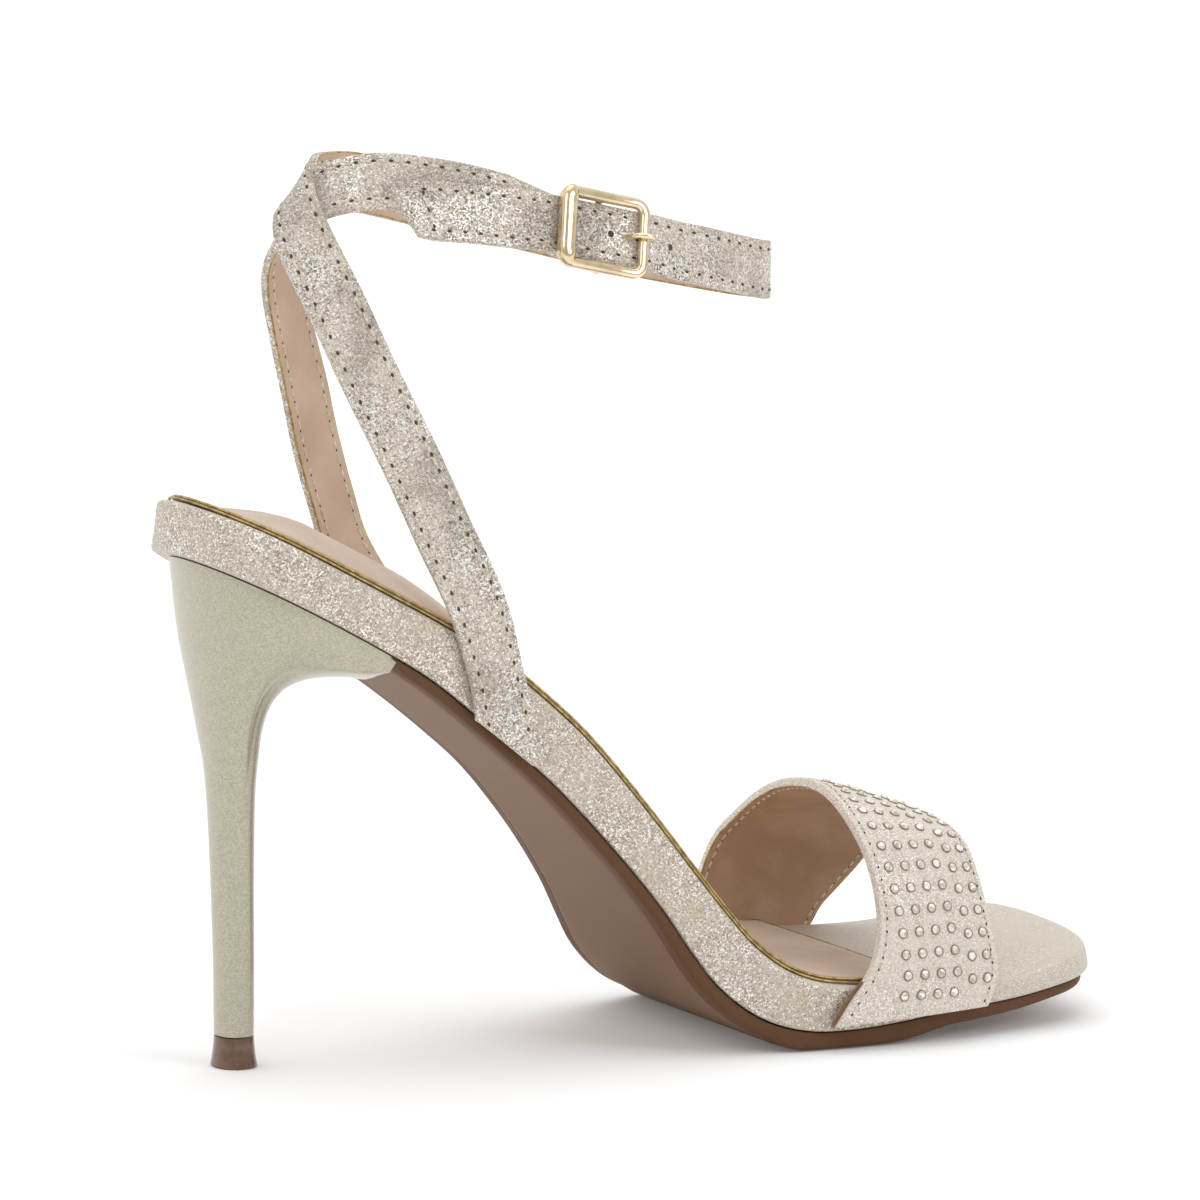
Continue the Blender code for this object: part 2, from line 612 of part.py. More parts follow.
def flattened(frames, centre, forward, across, out):
    """The strap laid straight where it passes through the buckle."""
    result = []
    for k, (point, run, over, up, wide) in enumerate(frames):
        reach = abs((point - centre).dot(forward))
        near = (point - centre).length < BUCKLE_LENGTH
        hold = 1 - smooth_step(reach, 0.58 * BUCKLE_LENGTH, 0.95 * BUCKLE_LENGTH) if near else 0.0
        flat = centre + forward * (point - centre).dot(forward)
        over = over.lerp(across, hold).normalized()
        up = up.lerp(out, hold).normalized()
        result.append((point.lerp(flat, hold), run, over, up, wide))
    return result


def root_half():
    """How far out the outer strap's middle lies at its root, beside the board."""
    widest = 0.316 * BALL_WIDTH
    return widest + GAP + STRAP_THICKNESS / 2 + 0.0001


def ribbon(frames):
    half_thick, chamfer = STRAP_THICKNESS / 2, 0.0004
    rings = []
    for centre, _, across, out, wide in frames:
        half = wide / 2
        section = ((-half, -half_thick + chamfer), (-half + chamfer, -half_thick),
                   (half - chamfer, -half_thick), (half, -half_thick + chamfer),
                   (half, half_thick - chamfer), (half - chamfer, half_thick),
                   (-half + chamfer, half_thick), (-half, half_thick - chamfer))
        rings.append([centre + across * a + out * n for a, n in section])
    shape = bmesh.new()
    loft(shape, rings)
    return shape


def apply_boolean(thing, other, operation):
    """Join or cut a piece with another one, which is then used up."""
    modifier = thing.modifiers.new(operation.lower(), "BOOLEAN")
    modifier.operation = operation
    modifier.solver = "EXACT"
    modifier.object = other
    graph = bpy.context.evaluated_depsgraph_get()
    result = bpy.data.meshes.new_from_object(thing.evaluated_get(graph))
    thing.modifiers.clear()
    thing.data = result
    bpy.data.objects.remove(other)


def sweep(path, section, closed):
    """A section carried along a path of (centre, side axis, up axis, side scale, up scale)."""
    rings = [[c + a * (u * us) + b * (v * vs) for u, v in section] for c, a, b, us, vs in path]
    shape = bmesh.new()
    made = [[shape.verts.new(p) for p in ring] for ring in rings]
    size = len(section)
    pairs = list(zip(made, made[1:]))
    if closed:
        pairs.append((made[-1], made[0]))
    for near, far in pairs:
        for k in range(size):
            shape.faces.new((near[k], near[(k + 1) % size], far[(k + 1) % size], far[k]))
    if not closed:
        shape.faces.new(made[0])
        shape.faces.new(made[-1])
    return shape


def round_section(sides, squareness):
    points = []
    for k in range(sides):
        a = 2 * math.pi * (k + 0.5) / sides
        c, s = math.cos(a), math.sin(a)
        points.append((math.copysign(abs(c) ** squareness, c) / 2,
                       math.copysign(abs(s) ** squareness, s) / 2))
    return points


def buckle_levels():
    """Heights over the outer strap's middle: centre bar, then the frame's under side."""
    bar_radius = BUCKLE_WIRE / 2
    bar = -(STRAP_THICKNESS / 2 + GAP + bar_radius)
    under = STRAP_THICKNESS / 2 + GAP
    return bar, under


def buckle_frame(centre, forward, across, out):
    """A rounded rectangle of wire over the strap, its rear bar a fat barrel."""
    inner_height = STRAP_WIDTH + 2.7 * GAP
    height = inner_height + 2 * BUCKLE_WIRE
    half_l = (BUCKLE_LENGTH - BUCKLE_WIRE) / 2
    half_h = (height - BUCKLE_WIRE) / 2
    corner = 0.0022
    _, under = buckle_levels()
    path = []
    centres = ((half_l, half_h, 0), (-half_l, half_h, 1), (-half_l, -half_h, 2),
               (half_l, -half_h, 3))
    for cx, cy, quarter in centres:
        ox = cx - math.copysign(corner, cx)
        oy = cy - math.copysign(corner, cy)
        for k in range(5):
            a = math.pi / 2 * (quarter + k / 4)
            lx, ly = ox + corner * math.cos(a), oy + corner * math.sin(a)
            barrel = smooth_step(-lx, 0.45 * half_l, half_l)
            deep = BUCKLE_WIRE + (BUCKLE_BARREL - BUCKLE_WIRE) * barrel
            side = forward * math.cos(a) + across * math.sin(a)
            middle = centre + forward * lx + across * ly + out * (under + deep / 2)
            path.append((middle, side, out, BUCKLE_WIRE, deep))
    return sweep(path, round_section(8, 0.8), True)


def centre_bar(centre, forward, across, out):
    """The bar under the strap, with a leg up into the frame at each end."""
    bar, under = buckle_levels()
    reach = (STRAP_WIDTH + 2.7 * GAP + BUCKLE_WIRE) / 2
    lift = under + BUCKLE_WIRE / 2
    points = []
    for side in (1, -1):
        leg = [(side * reach, lift), (side * reach, bar + 0.0012),
               (side * (reach - 0.0004), bar + 0.0004), (side * (reach - 0.0012), bar)]
        points += leg if side > 0 else leg[::-1]
    path = []
    for k, (a, n) in enumerate(points):
        before, after = points[max(0, k - 1)], points[min(len(points) - 1, k + 1)]
        run = across * (after[0] - before[0]) + out * (after[1] - before[1])
        run.normalize()
        path.append((centre + across * a + out * n, forward, run.cross(forward),
                     0.8 * BUCKLE_WIRE, 0.8 * BUCKLE_WIRE))
    return sweep(path, round_section(8, 0.9), False)


def prong_points():
    """The prong's way in the buckle's own plane: along the strap, and out from it."""
    bar, under = buckle_levels()
    rest = under + BUCKLE_WIRE + GAP + PRONG_THICKNESS / 2
    start = 0.8 * BUCKLE_WIRE / 2 + GAP
    hole = prong_hole_place()
    low = bar + 0.0001
    end = BUCKLE_LENGTH / 2 + 0.0004
    return ((start, low), (0.55 * hole, low), (hole - 0.0012, low + 0.0004), (hole, 0.0),
            (hole + 0.0008, under + 0.0006), (hole + 0.0018, rest - 0.0002),
            (end - 0.0012, rest + 0.0002), (end, rest))


def prong_hole_place():
    return BUCKLE_LENGTH / 2 - BUCKLE_WIRE - 0.0026


def buckle_prong(centre, forward, across, out):
    points = prong_points()
    path = []
    for k, (f, n) in enumerate(points):
        before, after = points[max(0, k - 1)], points[min(len(points) - 1, k + 1)]
        run = forward * (after[0] - before[0]) + out * (after[1] - before[1])
        run.normalize()
        path.append((centre + forward * f + out * n, across, run.cross(across),
                     1.15 * PRONG_THICKNESS, PRONG_THICKNESS))
    return sweep(path, round_section(8, 0.8), False)


def prong_cutter(centre, forward, across, out):
    """A slot through the strap for the prong."""
    hole = prong_hole_place()
    wide = 1.15 * PRONG_THICKNESS + 2.6 * GAP
    long = PRONG_THICKNESS + 8 * GAP
    path = [(centre + forward * (hole + 0.0001) + out * n, forward, across, long, wide)
            for n in (-2 * STRAP_THICKNESS, 2 * STRAP_THICKNESS)]
    shape = sweep(path, round_section(12, 1.0), False)
    thing = finish("prong_slot", shape, (0.5, 0.5, 0.5), 0.5, 0.0)
    thing.hide_render = True
    thing.display_type = "WIRE"
    return thing


def settle(things):
    """Move every piece so that the box's bottom centre is the origin."""
    corners = [v.co for thing in things for v in thing.data.vertices]
    low = Vector([min(c[k] for c in corners) for k in range(3)])
    high = Vector([max(c[k] for c in corners) for k in range(3)])
    shift = Vector((-(low.x + high.x) / 2, -(low.y + high.y) / 2, -low.z))
    for thing in things:
        thing.data.transform(Matrix.Translation(shift))


def main():
    clear_scene()
    last = Last()
    lip = last.mark_at(HEEL_LIP_REACH + 0.46 * BOARD_THICKNESS)
    things = [
        finish("heel", heel(last, lip), (0.45, 0.41, 0.32), 0.32, 0.25, 40),
        finish("top_lift", top_lift(), (0.17, 0.09, 0.06), 0.35, 0.0, 40),
        finish("outsole", outsole(last, lip), (0.25, 0.17, 0.12), 0.55, 0.0),
        finish("insole", board(last), (0.53, 0.47, 0.39), 0.45, 0.4),
        finish("sock", sock(last), (0.52, 0.41, 0.33), 0.6, 0.0),
        finish("toe_band", toe_band(), (0.62, 0.55, 0.46), 0.45, 0.3),
    ]
    root = last.at(last.mark_at(0.3123 * SHOE_LENGTH))[1] - 0.0155
    outer = strap_frames(OUTER_STRAP, RIBBON_STEPS, root, -1)
    inner = strap_frames(INNER_STRAP, INNER_RIBBON_STEPS, root, 1)
    outer[:20] = kept_outside(last, outer[:20], -1)
    inner[:16] = kept_outside(last, inner[:16], 1)
    late = outer[RIBBON_STEPS // 2:]
    centre, run, across, out, _ = min(
        late, key=lambda f: abs(f[0].x - BUCKLE_PLACE * SHOE_LENGTH) + (0 if f[0].y < 0 else 1))
    forward = -run
    across = (across - forward * across.dot(forward)).normalized()
    outer = flattened(outer, centre, forward, across, out)
    bar, _ = buckle_levels()
    under_bar = bar - 0.8 * BUCKLE_WIRE / 2 - GAP - STRAP_THICKNESS / 2
    for reach, level in ((-0.0060, under_bar + 0.0006), (-0.0015, under_bar), (0.0030, under_bar)):
        inner.append((centre + forward * reach + out * level, forward, across, out, STRAP_WIDTH))
    straps = finish("ankle_straps", ribbon(outer), (0.55, 0.49, 0.42), 0.4, 0.5)
    apply_boolean(straps, finish("inner", ribbon(inner), (0.5, 0.5, 0.5), 0.5, 0.0), "UNION")
    apply_boolean(straps, prong_cutter(centre, forward, across, out), "DIFFERENCE")
    middle = centre - across * (1.3 * GAP)
    frame = finish("buckle_frame", buckle_frame(middle, forward, across, out),
                   (0.80, 0.66, 0.42), 0.18, 1.0)
    bar_piece = finish("bar", centre_bar(middle, forward, across, out), (0.5, 0.5, 0.5), 0.5, 0.0)
    apply_boolean(frame, bar_piece, "UNION")
    prong = finish("buckle_prong", buckle_prong(centre, forward, across, out),
                   (0.80, 0.66, 0.42), 0.18, 1.0)
    settle(things + [straps, frame, prong])


main()
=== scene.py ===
import math

import bmesh
import bpy
from mathutils import Matrix, Vector


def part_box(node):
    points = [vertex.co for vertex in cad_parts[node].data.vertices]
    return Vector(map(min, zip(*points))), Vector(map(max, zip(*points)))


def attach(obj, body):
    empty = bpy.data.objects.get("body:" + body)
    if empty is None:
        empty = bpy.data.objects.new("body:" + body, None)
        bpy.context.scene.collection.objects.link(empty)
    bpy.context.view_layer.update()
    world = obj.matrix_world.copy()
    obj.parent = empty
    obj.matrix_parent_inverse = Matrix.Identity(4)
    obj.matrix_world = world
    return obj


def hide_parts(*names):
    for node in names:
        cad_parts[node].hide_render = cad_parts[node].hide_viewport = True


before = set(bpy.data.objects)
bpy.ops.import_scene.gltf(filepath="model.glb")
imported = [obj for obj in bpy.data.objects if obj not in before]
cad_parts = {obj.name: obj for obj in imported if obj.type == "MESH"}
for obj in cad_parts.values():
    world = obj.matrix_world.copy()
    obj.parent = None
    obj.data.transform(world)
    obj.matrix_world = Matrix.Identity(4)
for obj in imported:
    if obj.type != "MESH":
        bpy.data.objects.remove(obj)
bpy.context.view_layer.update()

MM = 0.001

# Camera.
# It stands off the heel's outer side, a little above the seat, and looks slightly down along the
# shoe, as the photograph does. A long lens keeps the shoe's lines nearly parallel.
AZIMUTH, ELEVATION, ROLL = (math.radians(angle) for angle in (-27.0, 7.2, 0.4))
CAMERA_PLACE = Vector((-568.6, -1104.4, 243.7)) * MM
toward_camera = Vector((math.sin(AZIMUTH) * math.cos(ELEVATION),
                        -math.cos(AZIMUTH) * math.cos(ELEVATION), math.sin(ELEVATION)))
level = Vector((math.cos(AZIMUTH), math.sin(AZIMUTH), 0))
upright = toward_camera.cross(level)
rolled = level * math.cos(ROLL) + upright * math.sin(ROLL)
camera = bpy.data.objects.new("camera", bpy.data.cameras.new("camera"))
camera.data.lens = 189.4
camera.data.sensor_width = 36
camera.data.clip_end = 60
camera.matrix_world = Matrix.Translation(CAMERA_PLACE) @ Matrix(
    (rolled, toward_camera.cross(rolled), toward_camera)).transposed().to_4x4()
bpy.context.scene.collection.objects.link(camera)
bpy.context.scene.camera = camera
bpy.context.scene.view_settings.view_transform = "Standard"

# Studio.
# A white floor under a white tent that is dimmer behind the camera, a large soft lamp overhead
# and two small ones to the sides, so that edges and foil catch a highlight.


class Value:
    """A socket that sums can be written with."""

    def __init__(self, finish, socket):
        self.finish = finish
        self.socket = socket

    def math(self, operation, first, second=0.0):
        return self.finish.node("ShaderNodeMath", {"operation": operation}, {0: first, 1: second})

    def __add__(self, other):
        return self.math("ADD", self, other)

    __radd__ = __add__

    def __sub__(self, other):
        return self.math("SUBTRACT", self, other)

    def __rsub__(self, other):
        return self.math("SUBTRACT", other, self)

    def __mul__(self, other):
        return self.math("MULTIPLY", self, other)

    __rmul__ = __mul__

    def sine(self):
        return self.math("SINE", self)

    def size(self):
        return self.math("ABSOLUTE", self)


class Finish:
    """One material: its nodes, and the sums worked on them."""

    def __init__(self, name, roughness, metallic=0.0, **constants):
        self.material = bpy.data.materials.new(name)
        self.material.use_nodes = True
        self.tree = self.material.node_tree
        self.shader = self.tree.nodes["Principled BSDF"]
        self.set("Roughness", roughness)
        self.set("Metallic", metallic)
        for socket, value in constants.items():
            self.set(socket.replace("_", " "), value)

    def set(self, socket, value):
        target = self.shader.inputs[socket]
        if isinstance(value, Value):
            self.tree.links.new(value.socket, target)
        else:
            target.default_value = value

    def node(self, kind, settings, inputs, output=0):
        made = self.tree.nodes.new(kind)
        for name, value in settings.items():
            setattr(made, name, value)
        for name, value in inputs.items():
            if isinstance(value, Value):
                self.tree.links.new(value.socket, made.inputs[name])
            else:
                made.inputs[name].default_value = value
        return Value(self, made.outputs[output])

    def point(self):
        return self.node("ShaderNodeTexCoord", {}, {}, "Object")

    def along_across(self):
        """Metres along and across a strip, from its own flat pattern."""
        flat = self.node("ShaderNodeUVMap", {"uv_map": "cloth"}, {})
        return (self.node("ShaderNodeSeparateXYZ", {}, {0: flat}, 0),
                self.node("ShaderNodeSeparateXYZ", {}, {0: flat}, 1))

    def clouds(self, where, grain, detail=2.0):
        """Soft blotches about one grain across, from 0 to 1."""
        return self.node("ShaderNodeTexNoise", {"noise_dimensions": "3D"}, {
            "Vector": where, "Scale": 1 / grain, "Detail": detail}, 0)

    def flecks(self, where, grain):
        """One random number for each fleck of about that width."""
        colour = self.node("ShaderNodeTexVoronoi", {"feature": "F1"}, {
            "Vector": where, "Scale": 1 / grain}, "Color")
        return self.node("ShaderNodeSeparateColor", {}, {0: colour}, 0)

    def between(self, value, low, high):
        return self.node("ShaderNodeMapRange", {"interpolation_type": "SMOOTHSTEP"}, {
            "Value": value, "From Min": low, "From Max": high})

    def mix(self, mask, first, second):
        return self.node("ShaderNodeMix", {"data_type": "RGBA"}, {
            0: mask, 6: first, 7: second}, 2)

    def bump(self, height, depth):
        self.set("Normal", self.node("ShaderNodeBump", {}, {
            "Strength": 1.0, "Distance": depth, "Height": height}, "Normal"))

    def blotched(self, grain, detail, dark, pale, low=0.3, high=0.7):
        """The colour, drifting from one paint to another in soft blotches."""
        blotch = self.between(self.clouds(self.point(), grain, detail), low, high)
        self.set("Base Color", self.mix(blotch, dark, pale))


def paint(red, green, blue):
    """A colour as a screen shows it, from 0 to 255, as light."""
    return tuple(((c / 255 + 0.055) / 1.055) ** 2.4 if c > 10 else c / 3294
                 for c in (red, green, blue)) + (1,)


floor_shape = bmesh.new()
bmesh.ops.create_grid(floor_shape, x_segments=1, y_segments=1, size=6.0)
floor_mesh = bpy.data.meshes.new("floor")
floor_shape.to_mesh(floor_mesh)
floor_shape.free()
floor = bpy.data.objects.new("floor", floor_mesh)
bpy.context.scene.collection.objects.link(floor)
white_floor = Finish("white floor", 0.9, Specular_IOR_Level=0.1, Emission_Strength=1.0)
floor_reach = white_floor.node("ShaderNodeVectorMath", {"operation": "LENGTH"},
                               {0: white_floor.point()}, "Value")
floor_far = white_floor.between(floor_reach, 0.25, 1.6)
white_floor.set("Base Color", white_floor.mix(floor_far, paint(246, 246, 246),
                                              paint(244, 244, 244)))
white_floor.set("Emission Color", white_floor.mix(floor_far, (0.07, 0.07, 0.07, 1),
                                                  (0.30, 0.30, 0.30, 1)))
floor_mesh.materials.append(white_floor.material)
tent = bpy.data.worlds.new("white tent")
tent.use_nodes = True
tent_nodes = tent.node_tree
backing = tent_nodes.nodes["Background"]
backing.inputs["Color"].default_value = (1, 1, 1, 1)
heading = tent_nodes.nodes.new("ShaderNodeSeparateXYZ")
tent_nodes.links.new(tent_nodes.nodes.new("ShaderNodeTexCoord").outputs["Generated"],
                     heading.inputs[0])
falloff = tent_nodes.nodes.new("ShaderNodeMapRange")
for socket, value in (("From Min", -0.8), ("From Max", 0.4), ("To Min", 0.58), ("To Max", 1.03)):
    falloff.inputs[socket].default_value = value
tent_nodes.links.new(heading.outputs["Y"], falloff.inputs["Value"])
tent_nodes.links.new(falloff.outputs["Result"], backing.inputs["Strength"])
bpy.context.scene.world = tent
LAMPS = (
    # name, place, size, power
    ("top lamp", (0.10, 0.10, 1.40), 1.5, 6.0),
    ("near lamp", (-0.75, -0.90, 1.10), 0.5, 2.2),
    ("toe lamp", (0.55, -1.00, 0.70), 0.4, 2.2),
)
for name, place, size, power in LAMPS:
    lamp = bpy.data.objects.new(name, bpy.data.lights.new(name, "AREA"))
    lamp.data.size = size
    lamp.data.energy = power
    lamp.location = place
    aim = Vector((0, 0, 0.08)) - Vector(place)
    lamp.rotation_euler = aim.to_track_quat("-Z", "Y").to_euler()
    bpy.context.scene.collection.objects.link(lamp)


# Sole board.
# A fibreboard and foam board with a steel shank, wrapped in glitter-faced cloth that is turned
# under its edges. It is cut flat, its rims are rounded, and it is then bent on the last.
SHOE_LENGTH = 0.195
SEAT_HEIGHT = 0.1122
BALL_WIDTH = 0.0756
BOARD_THICKNESS = 0.010
OUTSOLE_THICKNESS = 0.0031
GAP = 0.0003
SEAT_ROUND = 0.026
TOE_ROUND = 0.016
TOE_SQUARENESS = 3.0
TOE_SKEW = 0.10
END_TRIM = 0.0006
PATTERN_SPACING = 0.0006
# The feather line, which is the board's top edge, from the seat's back to the toe.
# along: share of SHOE_LENGTH; height: share of SEAT_HEIGHT; board: share of BOARD_THICKNESS;
# outer, inner: half widths as shares of BALL_WIDTH; sole: share of OUTSOLE_THICKNESS
LAST = (
    # along, height, board, outer, inner, sole
    (-0.003, 1.002, 0.95, 0.331, 0.331, 0.70),
    (0.064, 0.943, 0.95, 0.331, 0.331, 0.70),
    (0.125, 0.887, 0.95, 0.331, 0.331, 0.70),
    (0.190, 0.827, 0.96, 0.329, 0.323, 0.70),
    (0.255, 0.765, 1.01, 0.321, 0.288, 0.70),
    (0.308, 0.706, 1.09, 0.307, 0.256, 0.70),
    (0.359, 0.637, 1.13, 0.299, 0.232, 0.70),
    (0.407, 0.559, 1.10, 0.310, 0.233, 0.70),
    (0.469, 0.424, 1.00, 0.354, 0.262, 0.73),
    (0.514, 0.314, 0.95, 0.397, 0.304, 0.78),
    (0.545, 0.242, 1.03, 0.423, 0.339, 0.84),
    (0.569, 0.192, 1.08, 0.444, 0.370, 0.92),
    (0.600, 0.149, 1.07, 0.466, 0.409, 0.98),
    (0.631, 0.126, 1.00, 0.484, 0.450, 1.03),
    (0.672, 0.115, 0.90, 0.495, 0.468, 1.05),
    (0.728, 0.108, 0.74, 0.500, 0.479, 1.05),
    (0.779, 0.103, 0.57, 0.499, 0.480, 1.00),
    (0.831, 0.099, 0.45, 0.492, 0.476, 0.95),
    (0.882, 0.103, 0.42, 0.475, 0.454, 0.85),
    (0.944, 0.121, 0.48, 0.442, 0.424, 0.72),
    (1.008, 0.143, 0.52, 0.410, 0.398, 0.65),
)

# The heel's axis fixes where the tables' zero lies in the frame
lift_low, lift_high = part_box("top_lift")
HEEL_AXIS = 0.0140
shift = Vector(((lift_low.x + lift_high.x) / 2 - HEEL_AXIS, (lift_low.y + lift_high.y) / 2, 0))


def smooth_rows(rows, steps):
    """Rows of numbers drawn out into a smooth run of rows, through every one of them."""
    spans = [math.dist(a[:3], b[:3]) ** 0.5 for a, b in zip(rows, rows[1:])]
    result = []
    start, span = 0.0, 0
    for k in range(steps):
        mark = sum(spans) * k / (steps - 1)
        while span < len(rows) - 2 and mark > start + spans[span]:
            start += spans[span]
            span += 1
        gap = spans[span]
        t = min(1.0, (mark - start) / gap)
        row = []
        for j, (near, far) in enumerate(zip(rows[span], rows[span + 1])):
            slope = (far - near) / gap
            left, right = slope, slope
            if span > 0:
                last_slope = (near - rows[span - 1][j]) / spans[span - 1]
                left = (last_slope * gap + slope * spans[span - 1]) / (gap + spans[span - 1])
            if span + 2 < len(rows):
                next_slope = (rows[span + 2][j] - far) / spans[span + 1]
                right = (next_slope * gap + slope * spans[span + 1]) / (gap + spans[span + 1])
            row.append((2 * t ** 3 - 3 * t ** 2 + 1) * near + (t ** 3 - 2 * t ** 2 + t) * gap * left
                       + (3 * t ** 2 - 2 * t ** 3) * far + (t ** 3 - t ** 2) * gap * right)
        result.append(row)
    return result


def ease(value, low, high):
    t = min(1.0, max(0.0, (value - low) / (high - low)))
    return t * t * (3 - 2 * t)


class FeatherLine:
    """The board's top edge from seat to toe, as a bent ruler that carries its widths."""

    def __init__(self):
        self.rows = smooth_rows([
            (a * SHOE_LENGTH, h * SEAT_HEIGHT, 0.0, b * BOARD_THICKNESS, o * BALL_WIDTH,
             i * BALL_WIDTH, s * OUTSOLE_THICKNESS) for a, h, b, o, i, s in LAST], 600)
        self.marks = [0.0]
        for a, b in zip(self.rows, self.rows[1:]):
            self.marks.append(self.marks[-1] + math.dist(a[:2], b[:2]))
        self.length = self.marks[-1]

    def at(self, s):
        low, high = 0, len(self.marks) - 2
        while low < high:
            middle = (low + high + 1) // 2
            if self.marks[middle] <= s:
                low = middle
            else:
                high = middle - 1
        t = (s - self.marks[low]) / (self.marks[low + 1] - self.marks[low])
        row = [a + (b - a) * t for a, b in zip(self.rows[low], self.rows[low + 1])]
        if s < 0 or s > self.length:
            row[3:] = self.rows[0 if s < 0 else -1][3:]
        return row

    def mark_at(self, x):
        low, high = 0.0, self.length
        for _ in range(40):
            middle = (low + high) / 2
            if self.at(middle)[0] < x:
                low = middle
            else:
                high = middle
        return low

    def half_width(self, s, side):
        base = self.at(min(max(s, 0.0), self.length))[4 if side < 0 else 5]
        back = max(0.0, 1 - s / SEAT_ROUND)
        front = max(0.0, 1 - (self.length - s) / TOE_ROUND)
        return (base * max(0.0, 1 - back ** 2) ** 0.5
                * max(0.0, 1 - front ** TOE_SQUARENESS) ** (1 / TOE_SQUARENESS))

    def place(self, s, y, rise):
        x0, z0 = self.at(s - 0.0015)[:2]
        x1, z1 = self.at(s + 0.0015)[:2]
        tangent = Vector((x1 - x0, 0, z1 - z0)).normalized()
        x, z = self.at(s)[:2]
        forward = min(1.0, max(0.0, (s - 0.72 * self.length) / (0.28 * self.length)))
        return (Vector((x + TOE_SKEW * y * forward ** 2, y, z)) + shift
                + Vector((-tangent.z, 0, tangent.x)) * rise)

    def nearest(self, point):
        there = point - shift
        best = min(range(len(self.rows)), key=lambda k: (
            (self.rows[k][0] - there.x) ** 2 + (self.rows[k][1] - there.z) ** 2))
        s = self.marks[best]
        foot = self.place(s, 0, 0)
        up = (self.place(s, 0, 0.001) - foot) / 0.001
        return s, Vector((point.x - foot.x, 0, point.z - foot.z)).dot(up)


last = FeatherLine()


def plan(start, end, side_in, back_in, toe_in, back_bow):
    """The flat pattern of a sole piece, drawn inside the board's outline."""
    count = 110
    marks = []
    for k in range(count):
        t = k / (count - 1)
        marks.append(start + (end - start) * (0.5 * t + 0.5 * (0.5 - 0.5 * math.cos(math.pi * t))))
    outer = [(s, -last.half_width(s, -1)) for s in marks]
    inner = [(s, last.half_width(s, 1)) for s in marks]
    bows = [(c, 1 - c * c) for c in (-0.75, -0.5, -0.25, 0.0, 0.25, 0.5, 0.75)]

    def across(a, b, bow):
        return [(a[0] + bow * h, a[1] + (b[1] - a[1]) * (c + 1) / 2) for c, h in bows]

    loop = outer + across(outer[-1], inner[-1], 0.0004) + inner[::-1]
    loop += across(outer[0], inner[0], back_bow)[::-1]
    drawn = []
    for k, (s, y) in enumerate(loop):
        here = Vector((s, y))
        before = (here - Vector(loop[k - 1])).normalized()
        after = (Vector(loop[(k + 1) % len(loop)]) - here).normalized()
        run = (before + after).normalized()
        inward = Vector((-run.y, run.x)) / max(0.5, run.dot(after))
        end_in = back_in if inward.x > 0 else toe_in
        inset = side_in + (end_in - side_in) * min(1.0, abs(inward.x)) ** 1.5
        spot = (s + inward.x * inset, y + inward.y * inset)
        if not drawn or math.dist(spot, drawn[-1]) > PATTERN_SPACING:
            drawn.append(spot)
    return drawn


def thicken(sheet, thickness):
    """The flat sheet drawn down to a slab."""
    for thing in bmesh.ops.extrude_face_region(sheet, geom=sheet.faces[:])["geom"]:
        if isinstance(thing, bmesh.types.BMVert):
            thing.co.z -= thickness
    bmesh.ops.recalc_face_normals(sheet, faces=sheet.faces)


def cut_slab(pattern, thickness, top_round, bottom_round, step, lanes):
    """A flat slab of the pattern, its rims rounded, sliced so that it can be bent."""
    slab = bmesh.new()
    slab.faces.new([slab.verts.new((x, y, 0)) for x, y in pattern])
    thicken(slab, thickness)
    for level, round_by in ((0, top_round), (-thickness, bottom_round)):
        rim = [e for e in slab.edges if all(abs(v.co.z - level) < 1e-6 for v in e.verts)]
        bmesh.ops.bevel(slab, geom=rim, offset=round_by, segments=4, profile=0.5,
                        affect="EDGES", material=-1)
    low = min(x for x, _ in pattern)
    high = max(x for x, _ in pattern)
    cuts = [((low + k * step, 0, 0), (1, 0, 0)) for k in range(1, int((high - low) / step))]
    cuts += [((0, y, 0), (0, 1, 0)) for y in lanes]
    for spot, facing in cuts:
        bmesh.ops.bisect_plane(slab, geom=slab.verts[:] + slab.edges[:] + slab.faces[:],
                               plane_co=spot, plane_no=facing, dist=1e-7)
    return slab


def make_piece(name, shape, finishes, sharp=50):
    """The shape as a finished object that rides on the shoe."""
    bmesh.ops.remove_doubles(shape, verts=shape.verts, dist=1e-6)
    bmesh.ops.recalc_face_normals(shape, faces=shape.faces)
    mesh = bpy.data.meshes.new(name)
    shape.to_mesh(mesh)
    shape.free()
    mesh.shade_smooth()
    mesh.set_sharp_from_angle(angle=math.radians(sharp))
    for finish in finishes:
        mesh.materials.append(finish)
    piece = bpy.data.objects.new(name, mesh)
    bpy.context.scene.collection.objects.link(piece)
    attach(piece, "root")
    return piece


THREAD_PITCH = 0.0006


